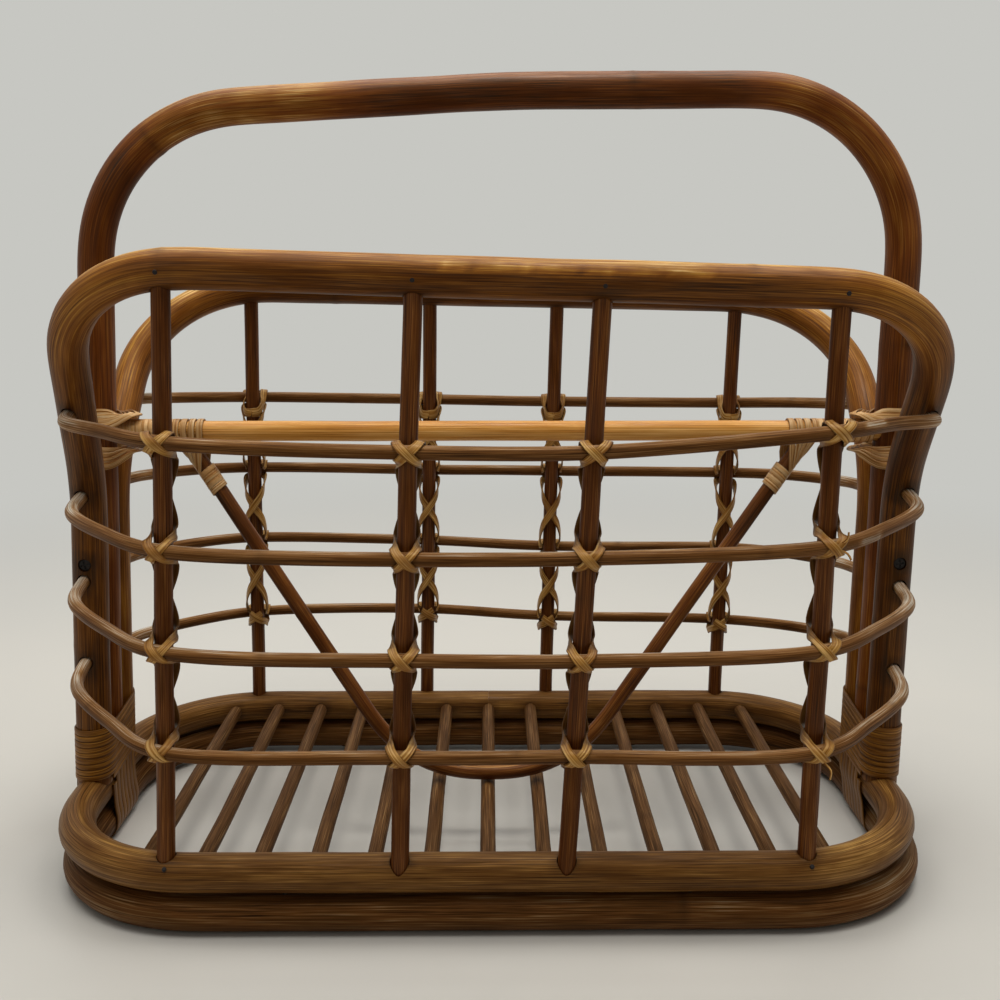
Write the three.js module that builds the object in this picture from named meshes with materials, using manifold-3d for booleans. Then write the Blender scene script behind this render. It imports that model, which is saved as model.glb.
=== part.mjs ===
// Magazine basket of bent rattan poles, with a carrying hoop and a bent divider.
// Millimetres, +Z up. The basket stands on Z = 0, and the origin is under its middle.
// Poles are butted, coped and let into drilled sockets, then bound with flat cane.

import * as THREE from "three";
import { mergeVertices } from "three/addons/utils/BufferGeometryUtils.js";
import Module from "manifold-3d";

const wasm = await Module();
wasm.setup();

// Stock: the sticks and the cane that the maker starts from
const poleDiameter = 18.6;
const staveDiameter = 8.6;
const railDiameter = 6.6;
const slatDiameter = 7.8;
const barDiameter = 11;
const veeDiameter = 8;
const laceWidth = 4;
const bindingWidth = 3.3;
const caneThickness = 0.9;

// Fits
const fitGap = 0.3; // between pieces that touch on the real basket
const caneGap = 0.6; // between two passes of the same cane
const socketDepth = 7.5; // how far a stick goes into the pole that holds it

// Base: two hoops of pole, one on the other, along their centre lines
const ringLength = 437;
const ringDepth = 222.6;
const ringCornerRadius = 75.5;
const lowerRingExtra = 2; // the lower hoop is this much longer
const lowerRingShift = 2; // and lies this much further to the right

// Upright hoops
const handleHeight = 399; // the grip's corners above the floor
const handleRise = 6.4; // the right corner stands this much above, the left one below
const handleArch = 5; // the middle of the grip stands this much higher
const handleArchRadius = 900;
const handleInset = 6.4; // how far each leg leans in on its way up
const handleCornerRadius = 81.4;
const hoopHeights = [308.5, 302]; // front and back rim, above the floor
const hoopDrops = [6, 4.3]; // the rim falls to the right by this, from its middle
const hoopShifts = [3.2, 0]; // the front rim stands this much further to the right
const mouthDepth = 208; // between the two rims
const mouthLengths = [400, 431]; // front and back, between the rim's corners
const kneeHeight = 205; // where the legs leave the handle and splay out
const kneeRadius = 60;
const hoopCornerRadii = [61, 72.5]; // front and back
const leanShare = 0.024; // the upright work leans to the right by this share of its height

// Staves and rails of the two walls
// Where each stave stands and ends, of the base length, in the front wall and the back one
const staveFootShares = [
  [-0.351, -0.096, 0.085, 0.349],
  [-0.351, -0.095, 0.088, 0.347],
];
const staveTopShares = [
  [-0.343, -0.089, 0.103, 0.346],
  [-0.351, -0.097, 0.084, 0.339],
];
const middleStaveOut = 4; // the two middle feet stand this much further out
const middleStaveBow = 5; // and the sticks bow out by this at half height
// Each rail's heights, of the wall's: left end, the four staves, right end
const railHeightShares = [
  [
    [0.774, 0.744, 0.73, 0.73, 0.76, 0.771],
    [0.607, 0.569, 0.559, 0.56, 0.575, 0.612],
    [0.443, 0.401, 0.393, 0.391, 0.401, 0.429],
    [0.281, 0.231, 0.228, 0.228, 0.226, 0.263],
  ],
  [
    [0.782, 0.757, 0.75, 0.745, 0.743, 0.768],
    [0.619, 0.59, 0.58, 0.577, 0.575, 0.604],
    [0.446, 0.418, 0.405, 0.39, 0.391, 0.421],
    [0.261, 0.232, 0.232, 0.213, 0.21, 0.262],
  ],
];
const railCornerShares = [0.842, 0.415]; // where a rail turns the corner, of the base's size
const railCornerRiseShare = 0.3; // its height there, from the outer stave's to the end's
const railSideShare = 0.42; // where it runs beside the leg, from the leg to that corner

// Floor
const slatCount = 13;
const slatSpanShare = 0.762; // first slat to last, of the base length

// Divider
const barRise = 23; // the bar lies this much above the knees of the hoops
const veeTopShare = 0.755; // half the distance between the rod's tops, of the handle's half width
const veeFootLength = 88; // the part that lies on the slats
const veeRadius = 70;
const veeSwing = 16; // the foot lies this much in front of the bar

// Screws through the legs, nails through the base
const screwHeight = 160;
const screwDiameter = 3.6;
const screwHeadDiameter = 6.4;
const screwHeadHeight = 2.4;
const screwBite = 7; // how far a screw goes into the handle
const nailDiameter = 2.6;
const nailHeadDiameter = 5;
const nailHeadHeight = 1.2;
const nailCover = 5; // wood left over the nail's point

// Windings
const laceSlack = 1.2; // the lacing stands this far off a stave and its rails
const laceLift = 2.3; // where it crosses itself, from the middle of one pass to the other
const laceDrop = 8; // the lacing leaves a stave's side this far from a rail
const barTurns = 9;
const footTurns = 10;
const footFan = 13; // the top turn climbs this much from the front leg to the back one
const lashingPasses = 5;
const lashingHeight = 24; // how far the lashing reaches up the legs
const tieTurns = 2; // round the bar and the rod together
const veeTurns = 3;

// How finely the round forms are cut
const poleSides = 12;
const stickSides = 8;
const turnSteps = 8;
const arcStep = Math.PI / 12;

const up = new THREE.Vector3(0, 0, 1);
const ahead = new THREE.Vector3(0, 1, 0);
const poleRadius = poleDiameter / 2;
const staveRadius = staveDiameter / 2;
const railRadius = railDiameter / 2;
const slatRadius = slatDiameter / 2;
const barRadius = barDiameter / 2;
const veeRodRadius = veeDiameter / 2;
const ringGap = caneThickness + 2 * fitGap;
const lowerRingHeight = poleRadius;
const upperRingHeight = lowerRingHeight + poleDiameter + ringGap;
const legSpacing = poleDiameter + fitGap;
const footSpread = ringLength / 2;
const barHeight = kneeHeight + barRise;

// A faceted stick is widest over its corners
function overCorners(radius, sides) {
  return radius / Math.cos(Math.PI / sides);
}

function point(x, y, z) {
  return new THREE.Vector3(x, y, z);
}

function leaned(x, y, z) {
  return point(x + leanShare * (z - upperRingHeight), y, z);
}

// Paths

// A run of straight lines whose corners are rounded to the radii given
function filleted(corners, radii, closed = false) {
  const count = corners.length;
  const path = closed ? [] : [corners[0].clone()];
  const first = closed ? 0 : 1;
  const last = closed ? count : count - 1;
  for (let i = first; i < last; i++) {
    const corner = corners[i];
    const back = corners[(i + count - 1) % count].clone().sub(corner).normalize();
    const on = corners[(i + 1) % count].clone().sub(corner).normalize();
    const opening = back.angleTo(on);
    const sweepAngle = Math.PI - opening;
    const radius = radii[i];
    const middle = back.clone().add(on).normalize();
    const centre = corner.clone().addScaledVector(middle, radius / Math.sin(opening / 2));
    const start = corner.clone().addScaledVector(back, radius / Math.tan(opening / 2));
    const spoke = start.clone().sub(centre);
    const axis = back.clone().negate().cross(on).normalize();
    const steps = Math.max(2, Math.ceil(sweepAngle / arcStep));
    for (let k = 0; k <= steps; k++) {
      path.push(spoke.clone().applyAxisAngle(axis, (sweepAngle * k) / steps).add(centre));
    }
  }
  if (!closed) path.push(corners[count - 1].clone());
  return path;
}

// A smooth curve through the points, with its own number of steps in each span
function smooth(points, steps) {
  const curve = new THREE.CatmullRomCurve3(points, false, "centripetal");
  const path = [points[0].clone()];
  steps.forEach((count, span) => {
    for (let k = 1; k <= count; k++) {
      path.push(curve.getPoint((span + k / count) / (points.length - 1)));
    }
  });
  return path;
}

function ringPath(length, shift, z) {
  const left = shift - length / 2;
  const right = shift + length / 2;
  const y = ringDepth / 2;
  const corners = [point(left, -y, z), point(right, -y, z), point(right, y, z), point(left, y, z)];
  return filleted(corners, corners.map(() => ringCornerRadius), true);
}

// Half the width of the three legs' row at a height
function legSpread(z) {
  return footSpread - (handleInset * (z - upperRingHeight)) / (handleHeight - upperRingHeight);
}

const legFoot = upperRingHeight + poleRadius / 2;

function handlePath() {
  const spread = legSpread(handleHeight);
  const corners = [
    leaned(-footSpread, 0, legFoot),
    leaned(-spread, 0, handleHeight - handleRise),
    leaned(0, 0, handleHeight + handleArch),
    leaned(spread, 0, handleHeight + handleRise),
    leaned(footSpread, 0, legFoot),
  ];
  const radii = [0, handleCornerRadius, handleArchRadius, handleCornerRadius, 0];
  return filleted(corners, radii);
}

// side is -1 for the front wall and 1 for the back wall
function wallOf(side) {
  return side < 0 ? 0 : 1;
}

function rimHeight(side, x) {
  const wall = wallOf(side);
  return hoopHeights[wall] - (hoopDrops[wall] * x) / (mouthLengths[wall] / 2);
}

function hoopPath(side) {
  const footY = side * legSpacing;
  const rimY = (side * mouthDepth) / 2;
  const knee = legSpread(kneeHeight);
  const left = hoopShifts[wallOf(side)] - mouthLengths[wallOf(side)] / 2;
  const right = hoopShifts[wallOf(side)] + mouthLengths[wallOf(side)] / 2;
  const corners = [
    leaned(-footSpread, footY, legFoot),
    leaned(-knee, footY, kneeHeight),
    leaned(left, rimY, rimHeight(side, left)),
    leaned(right, rimY, rimHeight(side, right)),
    leaned(knee, footY, kneeHeight),
    leaned(footSpread, footY, legFoot),
  ];
  const cornerRadius = hoopCornerRadii[wallOf(side)];
  const radii = [0, kneeRadius, cornerRadius, cornerRadius, kneeRadius, 0];
  return filleted(corners, radii);
}

const handleLine = handlePath();
const hoopLines = { "-1": hoopPath(-1), 1: hoopPath(1) };

// The point of an upright's left or right leg at a height
function legAt(path, end, z) {
  const run = end < 0 ? path : [...path].reverse();
  const next = run.findIndex((p) => p.z > z);
  const low = run[next - 1];
  const high = run[next];
  return low.clone().lerp(high, (z - low.z) / (high.z - low.z));
}

// A stave's centre line: a slight bow from the base to the rim
function staveAt(side, index, z) {
  const footX = staveFootShares[wallOf(side)][index] * ringLength;
  const topX = staveTopShares[wallOf(side)][index] * ringLength;
  const isMiddle = index === 1 || index === 2;
  const footY = ringDepth / 2 + (isMiddle ? middleStaveOut : 0);
  const height = rimHeight(side, topX) - upperRingHeight;
  const share = (z - upperRingHeight) / height;
  const bow = isMiddle ? 4 * middleStaveBow * share * (1 - share) : 0;
  const y = footY + (mouthDepth / 2 - footY) * share + bow;
  return leaned(footX + (topX - footX) * share, side * y, z);
}

function staveEnds(side, index) {
  const x = staveTopShares[wallOf(side)][index] * ringLength;
  const low = upperRingHeight + poleRadius - socketDepth;
  const high = rimHeight(side, x) - poleRadius + socketDepth;
  return [low, high];
}

function stavePath(side, index) {
  const [low, high] = staveEnds(side, index);
  const isMiddle = index === 1 || index === 2;
  const steps = isMiddle ? 6 : 1;
  const path = [];
  for (let k = 0; k <= steps; k++) path.push(staveAt(side, index, low + ((high - low) * k) / steps));
  return path;
}

// Rails run outside the staves, and pass the outer ones at a slant
const railStandOff = overCorners(staveRadius, stickSides) + railRadius + fitGap;
const railSlant = Math.PI / 6;

// place 0 and 5 are a rail's ends, and 1 to 4 the staves
function railHeight(side, row, place) {
  const wall = hoopHeights[wallOf(side)] - upperRingHeight;
  return upperRingHeight + railHeightShares[wallOf(side)][row][place] * wall;
}

function railAtStave(side, row, index) {
  const isMiddle = index === 1 || index === 2;
  const z = railHeight(side, row, index + 1);
  const stave = staveAt(side, index, z);
  const standOff = isMiddle ? railStandOff : railStandOff / Math.cos(railSlant);
  return point(stave.x, stave.y + side * standOff, z);
}

// One end of a rail, from its socket in the leg round to the outer stave
function railEnd(side, row, end) {
  const endHeight = railHeight(side, row, end < 0 ? 0 : 5);
  const staveHeight = railHeight(side, row, end < 0 ? 1 : 4);
  const socket = legAt(hoopLines[side], end, endHeight);
  const out = point(end * 0.25, side, -0.3).normalize();
  const tip = socket.clone().addScaledVector(out, poleRadius - socketDepth);
  const mouth = socket.clone().addScaledVector(out, overCorners(poleRadius, poleSides) + railRadius);
  const corner = leaned(
    (end * railCornerShares[0] * ringLength) / 2,
    side * railCornerShares[1] * ringDepth,
    staveHeight + (endHeight - staveHeight) * railCornerRiseShare,
  );
  const beside = mouth.clone().lerp(corner, railSideShare);
  beside.x = mouth.x + (corner.x - mouth.x) * railSideShare * railSideShare;
  return [tip, mouth, beside, corner];
}

function railPath(side, row) {
  const left = railEnd(side, row, -1);
  const right = railEnd(side, row, 1).reverse();
  const staves = staveFootShares[0].map((share, index) => railAtStave(side, row, index));
  return smooth([...left, ...staves, ...right], [1, 2, 2, 2, 1, 1, 1, 2, 2, 2, 1]);
}

// Half the inner depth of the base hoop, from its centre line, at a place along it
function ringHalfDepth(x) {
  const straight = ringLength / 2 - ringCornerRadius;
  const past = Math.max(0, Math.abs(x) - straight);
  const rise = Math.sqrt(ringCornerRadius ** 2 - past ** 2);
  return ringDepth / 2 - ringCornerRadius + rise;
}

function slatPath(index) {
  const x = (index / (slatCount - 1) - 0.5) * slatSpanShare * ringLength;
  const y = ringHalfDepth(x) - poleRadius + socketDepth;
  return [point(x, -y, upperRingHeight), point(x, y, upperRingHeight)];
}

const barLine = [-1, 1].map((end) => {
  const leg = legAt(handleLine, end, barHeight);
  leg.x -= end * (poleRadius - socketDepth);
  return leg;
});

const veeFootHeight =
  upperRingHeight + slatRadius + overCorners(veeRodRadius, stickSides) + fitGap;
const veeTopHeight = barHeight - barRadius - fitGap - veeRodRadius;

function veeCorners() {
  const top = veeTopShare * legSpread(barHeight);
  return [
    leaned(-top, 0, veeTopHeight),
    leaned(-veeFootLength / 2, -veeSwing, veeFootHeight),
    leaned(veeFootLength / 2, -veeSwing, veeFootHeight),
    leaned(top, 0, veeTopHeight),
  ];
}

// Solids

// A closed skin over rings of points, with flat ends unless it runs back to its start
function loft(rings, closed = false) {
  const sides = rings[0].length;
  const index = [];
  const spans = closed ? rings.length : rings.length - 1;
  for (let i = 0; i < spans; i++) {
    const here = i * sides;
    const there = ((i + 1) % rings.length) * sides;
    for (let j = 0; j < sides; j++) {
      const k = (j + 1) % sides;
      index.push(here + j, here + k, there + k, here + j, there + k, there + j);
    }
  }
  const end = (rings.length - 1) * sides;
  for (let j = 1; !closed && j < sides - 1; j++) {
    index.push(0, j + 1, j, end, end + j, end + j + 1);
  }
  const geometry = new THREE.BufferGeometry().setFromPoints(rings.flat());
  geometry.setIndex(index);
  return geometry;
}

function tangentAt(path, i, closed) {
  const count = path.length;
  const before = closed ? (i + count - 1) % count : Math.max(0, i - 1);
  const after = closed ? (i + 1) % count : Math.min(count - 1, i + 1);
  return path[after].clone().sub(path[before]).normalize();
}

// A stick of even thickness along a path, with one of its flats turned to face
function stick(path, diameter, sides, face, closed = false) {
  const reach = overCorners(diameter / 2, sides);
  const normal = face.clone();
  const rings = path.map((centre, i) => {
    const tangent = tangentAt(path, i, closed);
    normal.addScaledVector(tangent, -normal.dot(tangent)).normalize();
    const across = tangent.clone().cross(normal);
    return Array.from({ length: sides }, (_, j) => {
      const angle = (2 * Math.PI * (j + 0.5)) / sides;
      return centre
        .clone()
        .addScaledVector(normal, reach * Math.cos(angle))
        .addScaledVector(across, reach * Math.sin(angle));
    });
  });
  return loft(rings, closed);
}

// The same stick made larger by the fit, to cut its socket with
function socketFor(path, diameter, sides, face) {
  const longer = path.map((p) => p.clone());
  const count = path.length;
  longer[0].addScaledVector(tangentAt(path, 0, false), -fitGap);
  longer[count - 1].addScaledVector(tangentAt(path, count - 1, false), fitGap);
  return stick(longer, diameter + 2 * fitGap, sides, face);
}

function toSolid(geometry) {
  const bare = new THREE.BufferGeometry();
  bare.setAttribute("position", geometry.getAttribute("position"));
  bare.setIndex(geometry.getIndex());
  const merged = mergeVertices(bare, 1e-4);
  return new wasm.Manifold(
    new wasm.Mesh({
      numProp: 3,
      vertProperties: merged.getAttribute("position").array,
      triVerts: new Uint32Array(merged.getIndex().array),
    }),
  );
}

function cut(geometry, tools) {
  let solid = toSolid(geometry);
  for (const tool of tools) solid = solid.subtract(toSolid(tool));
  const mesh = solid.getMesh();
  const result = new THREE.BufferGeometry();
  result.setAttribute("position", new THREE.BufferAttribute(mesh.vertProperties, 3));
  result.setIndex(new THREE.BufferAttribute(mesh.triVerts, 1));
  return result;
}

// A flat strand of cane: each stop has a place and the way its bright side faces
function strandRings(stops, width) {
  const path = stops.map((stop) => stop.place);
  return stops.map(({ place, face }, i) => {
    const tangent = tangentAt(path, i, false);
    const across = tangent.clone().cross(face).normalize();
    const normal = across.clone().cross(tangent);
    const corners = [[1, -1], [1, 1], [-1, 1], [-1, -1]];
    return corners.map(([n, a]) =>
      place
        .clone()
        .addScaledVector(normal, (n * caneThickness) / 2)
        .addScaledVector(across, (a * width) / 2),
    );
  });
}

// Their skin: where the strand twists, both its faces fold along the same diagonal, outwards
function ribbon(rings) {
  const sides = rings[0].length;
  const index = [];
  for (let i = 0; i + 1 < rings.length; i++) {
    const [here, there] = [rings[i], rings[i + 1]];
    const out = here[0].clone().sub(here[3]).add(there[0]).sub(there[3]);
    const rise = here[0].clone().add(there[1]).sub(here[1]).sub(there[0]);
    const folds = rise.dot(out) > 0;
    for (let j = 0; j < sides; j++) {
      const k = (j + 1) % sides;
      const [a, b] = [i * sides + j, i * sides + k];
      const [c, d] = [b + sides, a + sides];
      const forward = folds === (j % 4 < 2);
      index.push(...(forward ? [a, b, c, a, c, d] : [a, b, d, b, c, d]));
    }
  }
  const end = (rings.length - 1) * sides;
  index.push(0, 2, 1, 0, 3, 2, end, end + 1, end + 2, end, end + 2, end + 3);
  const geometry = new THREE.BufferGeometry().setFromPoints(rings.flat());
  geometry.setIndex(index);
  return geometry;
}

function stop(place, face) {
  return { place, face: face.clone().normalize() };
}

// Fasteners lie along an axis: head first, then the shank to its point.
// Their holes are larger by the fit and open at the head.
function pin(shank, head, headHeight, length, grow) {
  const mouth = grow > 0 ? -2 * headHeight : 0;
  const profile = [
    new THREE.Vector2(0, mouth),
    new THREE.Vector2(head / 2 + grow, mouth),
    new THREE.Vector2(head / 2 + grow, grow),
    new THREE.Vector2(shank / 2 + grow, headHeight + grow),
    new THREE.Vector2(shank / 2 + grow, length - shank / 2),
    new THREE.Vector2(0, length + grow),
  ];
  if (grow === 0) profile.splice(2, 1);
  return new THREE.LatheGeometry(profile, stickSides);
}

// Lacing: one cane goes up a stave and comes down again, crossing over each rail

const laceReach = caneThickness + caneGap;

function lacePlace(side, index, z, along, out) {
  const stave = staveAt(side, index, z);
  return point(stave.x + along, stave.y + side * out, z);
}

// The cane over one rail; hand is 1 where it falls to the right, layer lifts it over the other
function overRail(side, index, row, hand, layer) {
  const rail = railAtStave(side, row, index);
  const turn = Math.PI / 3;
  const wrap = overCorners(railRadius, stickSides) + laceSlack + caneThickness / 2 +
    layer * laceLift;
  return [1, 0, -1].map((quarter) => {
    const angle = quarter * turn;
    const face = point(0, side * Math.cos(angle), Math.sin(angle));
    const place = rail.clone().addScaledVector(face, wrap);
    place.x -= (quarter * hand * laceWidth * 3) / 4;
    return stop(place, face);
  });
}

// The cane behind the stave, from one side to the other between two heights
function behindStave(side, index, high, low, hand, layer) {
  const wrap = (overCorners(staveRadius, stickSides) + laceSlack + caneThickness / 2 +
    layer * laceReach) / Math.cos(Math.PI / 6);
  return [0, 1, 2, 3].map((step) => {
    const angle = (step * Math.PI) / 3;
    const z = high + ((low - high) * step) / 3;
    const along = hand * wrap * Math.cos(angle);
    const out = -wrap * Math.sin(angle);
    const place = lacePlace(side, index, z, along, out);
    return stop(place, point(along, side * out, 0));
  });
}

function laceStops(side, index) {
  const rows = railHeightShares[0].map((shares, row) => row);
  const heights = rows.map((row) => railAtStave(side, row, index).z);
  const stops = [];
  const lastRow = rows.length - 1;
  const behind = (row, hand, layer) =>
    behindStave(side, index, heights[row] - laceDrop, heights[row + 1] + laceDrop, hand, layer);
  // up the stave, from a turn under the lowest rail
  const tail = heights[lastRow] - laceDrop;
  stops.push(...behindStave(side, index, tail, tail - laceWidth, 1, 0).reverse());
  for (let row = lastRow; row >= 0; row--) {
    stops.push(...overRail(side, index, row, 1, 0).reverse());
    if (row > 0) stops.push(...behind(row - 1, 1, 0).reverse());
  }
  // round the back over the top rail
  const crown = heights[0] + railRadius + laceWidth;
  stops.push(...behindStave(side, index, crown, crown, -1, 0));
  // and down again
  for (const row of rows) {
    stops.push(...overRail(side, index, row, -1, 1));
    if (row < lastRow) stops.push(...behind(row, -1, 1));
  }
  return stops;
}

// Windings round the handle's leg, below and above the divider's bar, then along the bar
function barBindingStops(end) {
  const leg = legAt(handleLine, end, barHeight);
  const pitch = bindingWidth + caneGap;
  const easing = Math.cos(Math.PI / turnSteps);
  const cover = fitGap + caneThickness / 2;
  const legRound = (overCorners(poleRadius, poleSides) + cover) / easing;
  const barRound = (overCorners(barRadius, poleSides) + cover) / easing;
  const stops = [];
  // heights from the bar's middle: on the leg's inner side, then on its outer side
  const rise = pitch * 1.15;
  const clear = barRound + bindingWidth;
  const inner = [-clear - rise, -clear, clear, clear + rise];
  const outer = [-rise, 0, rise];
  outer.forEach((outerHeight, turn) => {
    const isLast = turn === outer.length - 1;
    for (let k = 0; k < turnSteps; k++) {
      const angle = (2 * Math.PI * k) / turnSteps;
      const share = (1 - Math.cos(angle)) / 2;
      const innerHeight = inner[k < turnSteps / 2 ? turn : turn + 1];
      const z = barHeight + innerHeight + (outerHeight - innerHeight) * share;
      const face = point(-end * Math.cos(angle), -Math.sin(angle), 0);
      const place = leaned(end * legSpread(z), 0, z).addScaledVector(face, legRound);
      stops.push(stop(place, face));
    }
    if (isLast) stops[stops.length - 1].place.z = barHeight + inner[turn + 1];
  });
  const nearest = leg.x - end * (legRound + 1.5 * bindingWidth);
  for (let k = -1; k <= barTurns * turnSteps; k++) {
    const angle = (2 * Math.PI * k) / turnSteps;
    const face = point(0, -Math.sin(angle), Math.cos(angle));
    const place = point(nearest - (end * pitch * k) / turnSteps, 0, barHeight);
    stops.push(stop(place.addScaledVector(face, barRound), face));
  }
  return stops;
}

// Windings round the three legs just above the base
function footBindingStops(end) {
  const pitch = bindingWidth + caneGap;
  const start = upperRingHeight + poleRadius + bindingWidth;
  const across = overCorners(poleRadius, poleSides) + fitGap + caneThickness / 2;
  const widest = (across + caneThickness + fitGap) / Math.cos(Math.PI / turnSteps);
  const deepest = across / Math.cos(Math.PI / turnSteps);
  const quarter = Math.PI / 4;
  const angles = [-2, -1, 0, 0, 1, 2, 3, 4, 4, -3].map((step) => step * quarter);
  const stops = [];
  for (let turn = 0; turn < footTurns; turn++) {
    angles.forEach((angle, k) => {
      const isBack = k >= 3 && k <= 7;
      const centreY = isBack ? legSpacing : -legSpacing;
      const y = centreY + deepest * Math.sin(angle);
      const back = (y + legSpacing + deepest) / (2 * (legSpacing + deepest));
      const share = (turn + k / angles.length) / footTurns;
      const z = start + pitch * footTurns * share + footFan * back * share;
      const x = -end * widest * Math.cos(angle);
      const place = leaned(end * legSpread(z) + x, y, z);
      stops.push(stop(place, point(x, Math.sin(angle) * deepest, 0)));
    });
  }
  return stops;
}

// A lashing that goes to and fro under the upper base hoop, its bends held under the turns
function lashingStops(end) {
  const pitch = bindingWidth + caneGap;
  const facet = (2 * Math.PI) / poleSides;
  const offset = poleRadius + fitGap + caneThickness / 2;
  const top = upperRingHeight + poleRadius + lashingHeight;
  const stops = [];
  for (let pass = 0; pass < lashingPasses; pass++) {
    const y = (pass - (lashingPasses - 1) / 2) * pitch;
    const hand = pass % 2 === 0 ? 1 : -1;
    // under the hoop, bent where its own facets meet
    for (let angle = (7 * facet) / 2; angle < 9 * facet; angle += facet) {
      const face = point(-end * hand * Math.sin(angle), 0, Math.cos(angle));
      const place = point(end * footSpread, y, upperRingHeight);
      stops.push(stop(place.addScaledVector(face, overCorners(offset, poleSides)), face));
    }
    // up the leg, across to the next pass and down again
    for (let step = 0; pass < lashingPasses - 1 && step <= 3; step++) {
      const angle = (step * Math.PI) / 3;
      const face = point(end * hand, 0, 0);
      const z = top + (pitch * Math.sin(angle)) / 2;
      const place = leaned(end * legSpread(z), y + (pitch * (1 - Math.cos(angle))) / 2, z);
      stops.push(stop(place.addScaledVector(face, offset), face));
    }
  }
  return stops;
}

// Turns round the bar and the divider rod's top together, then round the rod alone
function veeBindingStops(end) {
  const [left, leftFoot, rightFoot, right] = veeCorners();
  const top = end < 0 ? left : right;
  const foot = end < 0 ? leftFoot : rightFoot;
  const along = foot.clone().sub(top).normalize();
  const pitch = bindingWidth + caneGap;
  const tiePitch = pitch / Math.abs(along.x);
  const easing = Math.cos(Math.PI / turnSteps);
  const cover = fitGap + caneThickness / 2;
  const rodRound = (overCorners(veeRodRadius, stickSides) + cover) / easing;
  const barRound = (overCorners(barRadius, poleSides) + cover) / easing;
  const front = point(0, -1, 0).addScaledVector(along, along.y).normalize();
  const under = front.clone().cross(along).multiplyScalar(end);
  const eighth = Math.PI / 4;
  const stops = [];
  const onBar = (turn, angle) => {
    const face = point(0, -Math.sin(angle), Math.cos(angle));
    const x = top.x - end * (veeRodRadius + pitch * turn);
    stops.push(stop(point(x, 0, barHeight).addScaledVector(face, barRound), face));
  };
  const onRod = (travel, angle) => {
    const face = front.clone().multiplyScalar(Math.cos(angle));
    face.addScaledVector(under, Math.sin(angle));
    const place = top.clone().addScaledVector(along, veeRodRadius + travel);
    stops.push(stop(place.addScaledVector(face, rodRound), face));
  };
  for (let turn = 0; turn < tieTurns; turn++) {
    for (let k = -2; k <= 2; k++) onBar(turn + (k + 2) / turnSteps / 2, k * eighth);
    for (let k = 0; k <= 4; k++) onRod(tiePitch * (turn + (k + 4) / turnSteps / 2), k * eighth);
  }
  const first = tiePitch * (tieTurns - 1 / 2);
  for (let k = 1; k <= veeTurns * turnSteps; k++) {
    onRod(first + (pitch * k) / turnSteps, Math.PI + k * eighth);
  }
  return stops;
}

// The shortest way between two passes of the same strand, over points on its skin
function leastGap(rings) {
  const skin = [];
  const shares = [0, 1 / 4, 1 / 2, 3 / 4];
  for (let i = 0; i + 1 < rings.length; i++) {
    for (const share of shares) {
      const section = rings[i].map((corner, k) => corner.clone().lerp(rings[i + 1][k], share));
      section.forEach((corner, k) => {
        const next = section[(k + 1) % section.length];
        for (const part of shares) skin.push({ at: i + share, p: corner.clone().lerp(next, part) });
      });
    }
  }
  const away = turnSteps / 2;
  let least = Infinity;
  for (const a of skin) {
    for (const b of skin) {
      if (b.at - a.at >= away) least = Math.min(least, a.p.distanceToSquared(b.p));
    }
  }
  return Math.sqrt(least);
}

// Finishes
function finish(colour, roughness) {
  return () => new THREE.MeshStandardMaterial({ color: colour, roughness, metalness: 0 });
}

const paleRattan = finish(0xa9793f, 0.42);
const smokedRattan = finish(0x7a4f2a, 0.5);
const dustyRattan = finish(0x5d4a38, 0.7);
const darkStick = finish(0x5b371d, 0.55);
const railStick = finish(0x7b5b40, 0.6);
const slatStick = finish(0x78603f, 0.65);
const goldenBar = finish(0xb8843c, 0.4);
const flatCane = finish(0xb8905a, 0.5);
const steel = () => new THREE.MeshStandardMaterial({ color: 0x3a3632, roughness: 0.5, metalness: 0.8 });

// The basket
const basket = new THREE.Group();
const walls = { front: -1, back: 1 };
const ends = { left: -1, right: 1 };

function add(name, geometry, material, place = point(0, 0, 0), turn = new THREE.Euler()) {
  const mesh = new THREE.Mesh(geometry, material());
  mesh.name = name;
  mesh.position.copy(place);
  mesh.rotation.copy(turn);
  basket.add(mesh);
  return mesh;
}

function placed(geometry, place, turn) {
  const matrix = new THREE.Matrix4().makeRotationFromEuler(turn).setPosition(place);
  return geometry.clone().applyMatrix4(matrix);
}

const slatLines = Array.from({ length: slatCount }, (_, index) => slatPath(index));
const staveLines = { "-1": [], 1: [] };
const railLines = { "-1": [], 1: [] };
for (const side of Object.values(walls)) {
  staveFootShares[0].forEach((share, index) => staveLines[side].push(stavePath(side, index)));
  railHeightShares[0].forEach((shares, row) => railLines[side].push(railPath(side, row)));
}

const staveSocket = (line) => socketFor(line, staveDiameter, stickSides, ahead);
const railSocket = (line) => socketFor(line, railDiameter, stickSides, up);
const slatSocket = (line) => socketFor(line, slatDiameter, stickSides, up);

// Screws go from the outer face of a hoop's leg into the handle's leg
const screwTurn = { "-1": new THREE.Euler(0, 0, 0), 1: new THREE.Euler(Math.PI, 0, 0) };
const screwLength = poleDiameter + screwBite;

function screwPlace(side, end) {
  const leg = legAt(hoopLines[side], end, screwHeight);
  return point(leg.x, leg.y + side * (poleRadius - fitGap), screwHeight);
}

function screwShape(grow) {
  return pin(screwDiameter, screwHeadDiameter, screwHeadHeight, screwLength, grow);
}

// Nails go up through the lower hoop into the upper one, between the slats
const nailTurn = new THREE.Euler(Math.PI / 2, 0, 0);
const nailLength = upperRingHeight + poleRadius - nailCover - nailHeadHeight;

function nailShape(grow) {
  return pin(nailDiameter, nailHeadDiameter, nailHeadHeight, nailLength, grow);
}

function nailPlace(side, end) {
  const pitch = (slatSpanShare * ringLength) / (slatCount - 1);
  return point(end * pitch * 3.5, (side * ringDepth) / 2, nailHeadHeight);
}

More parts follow.
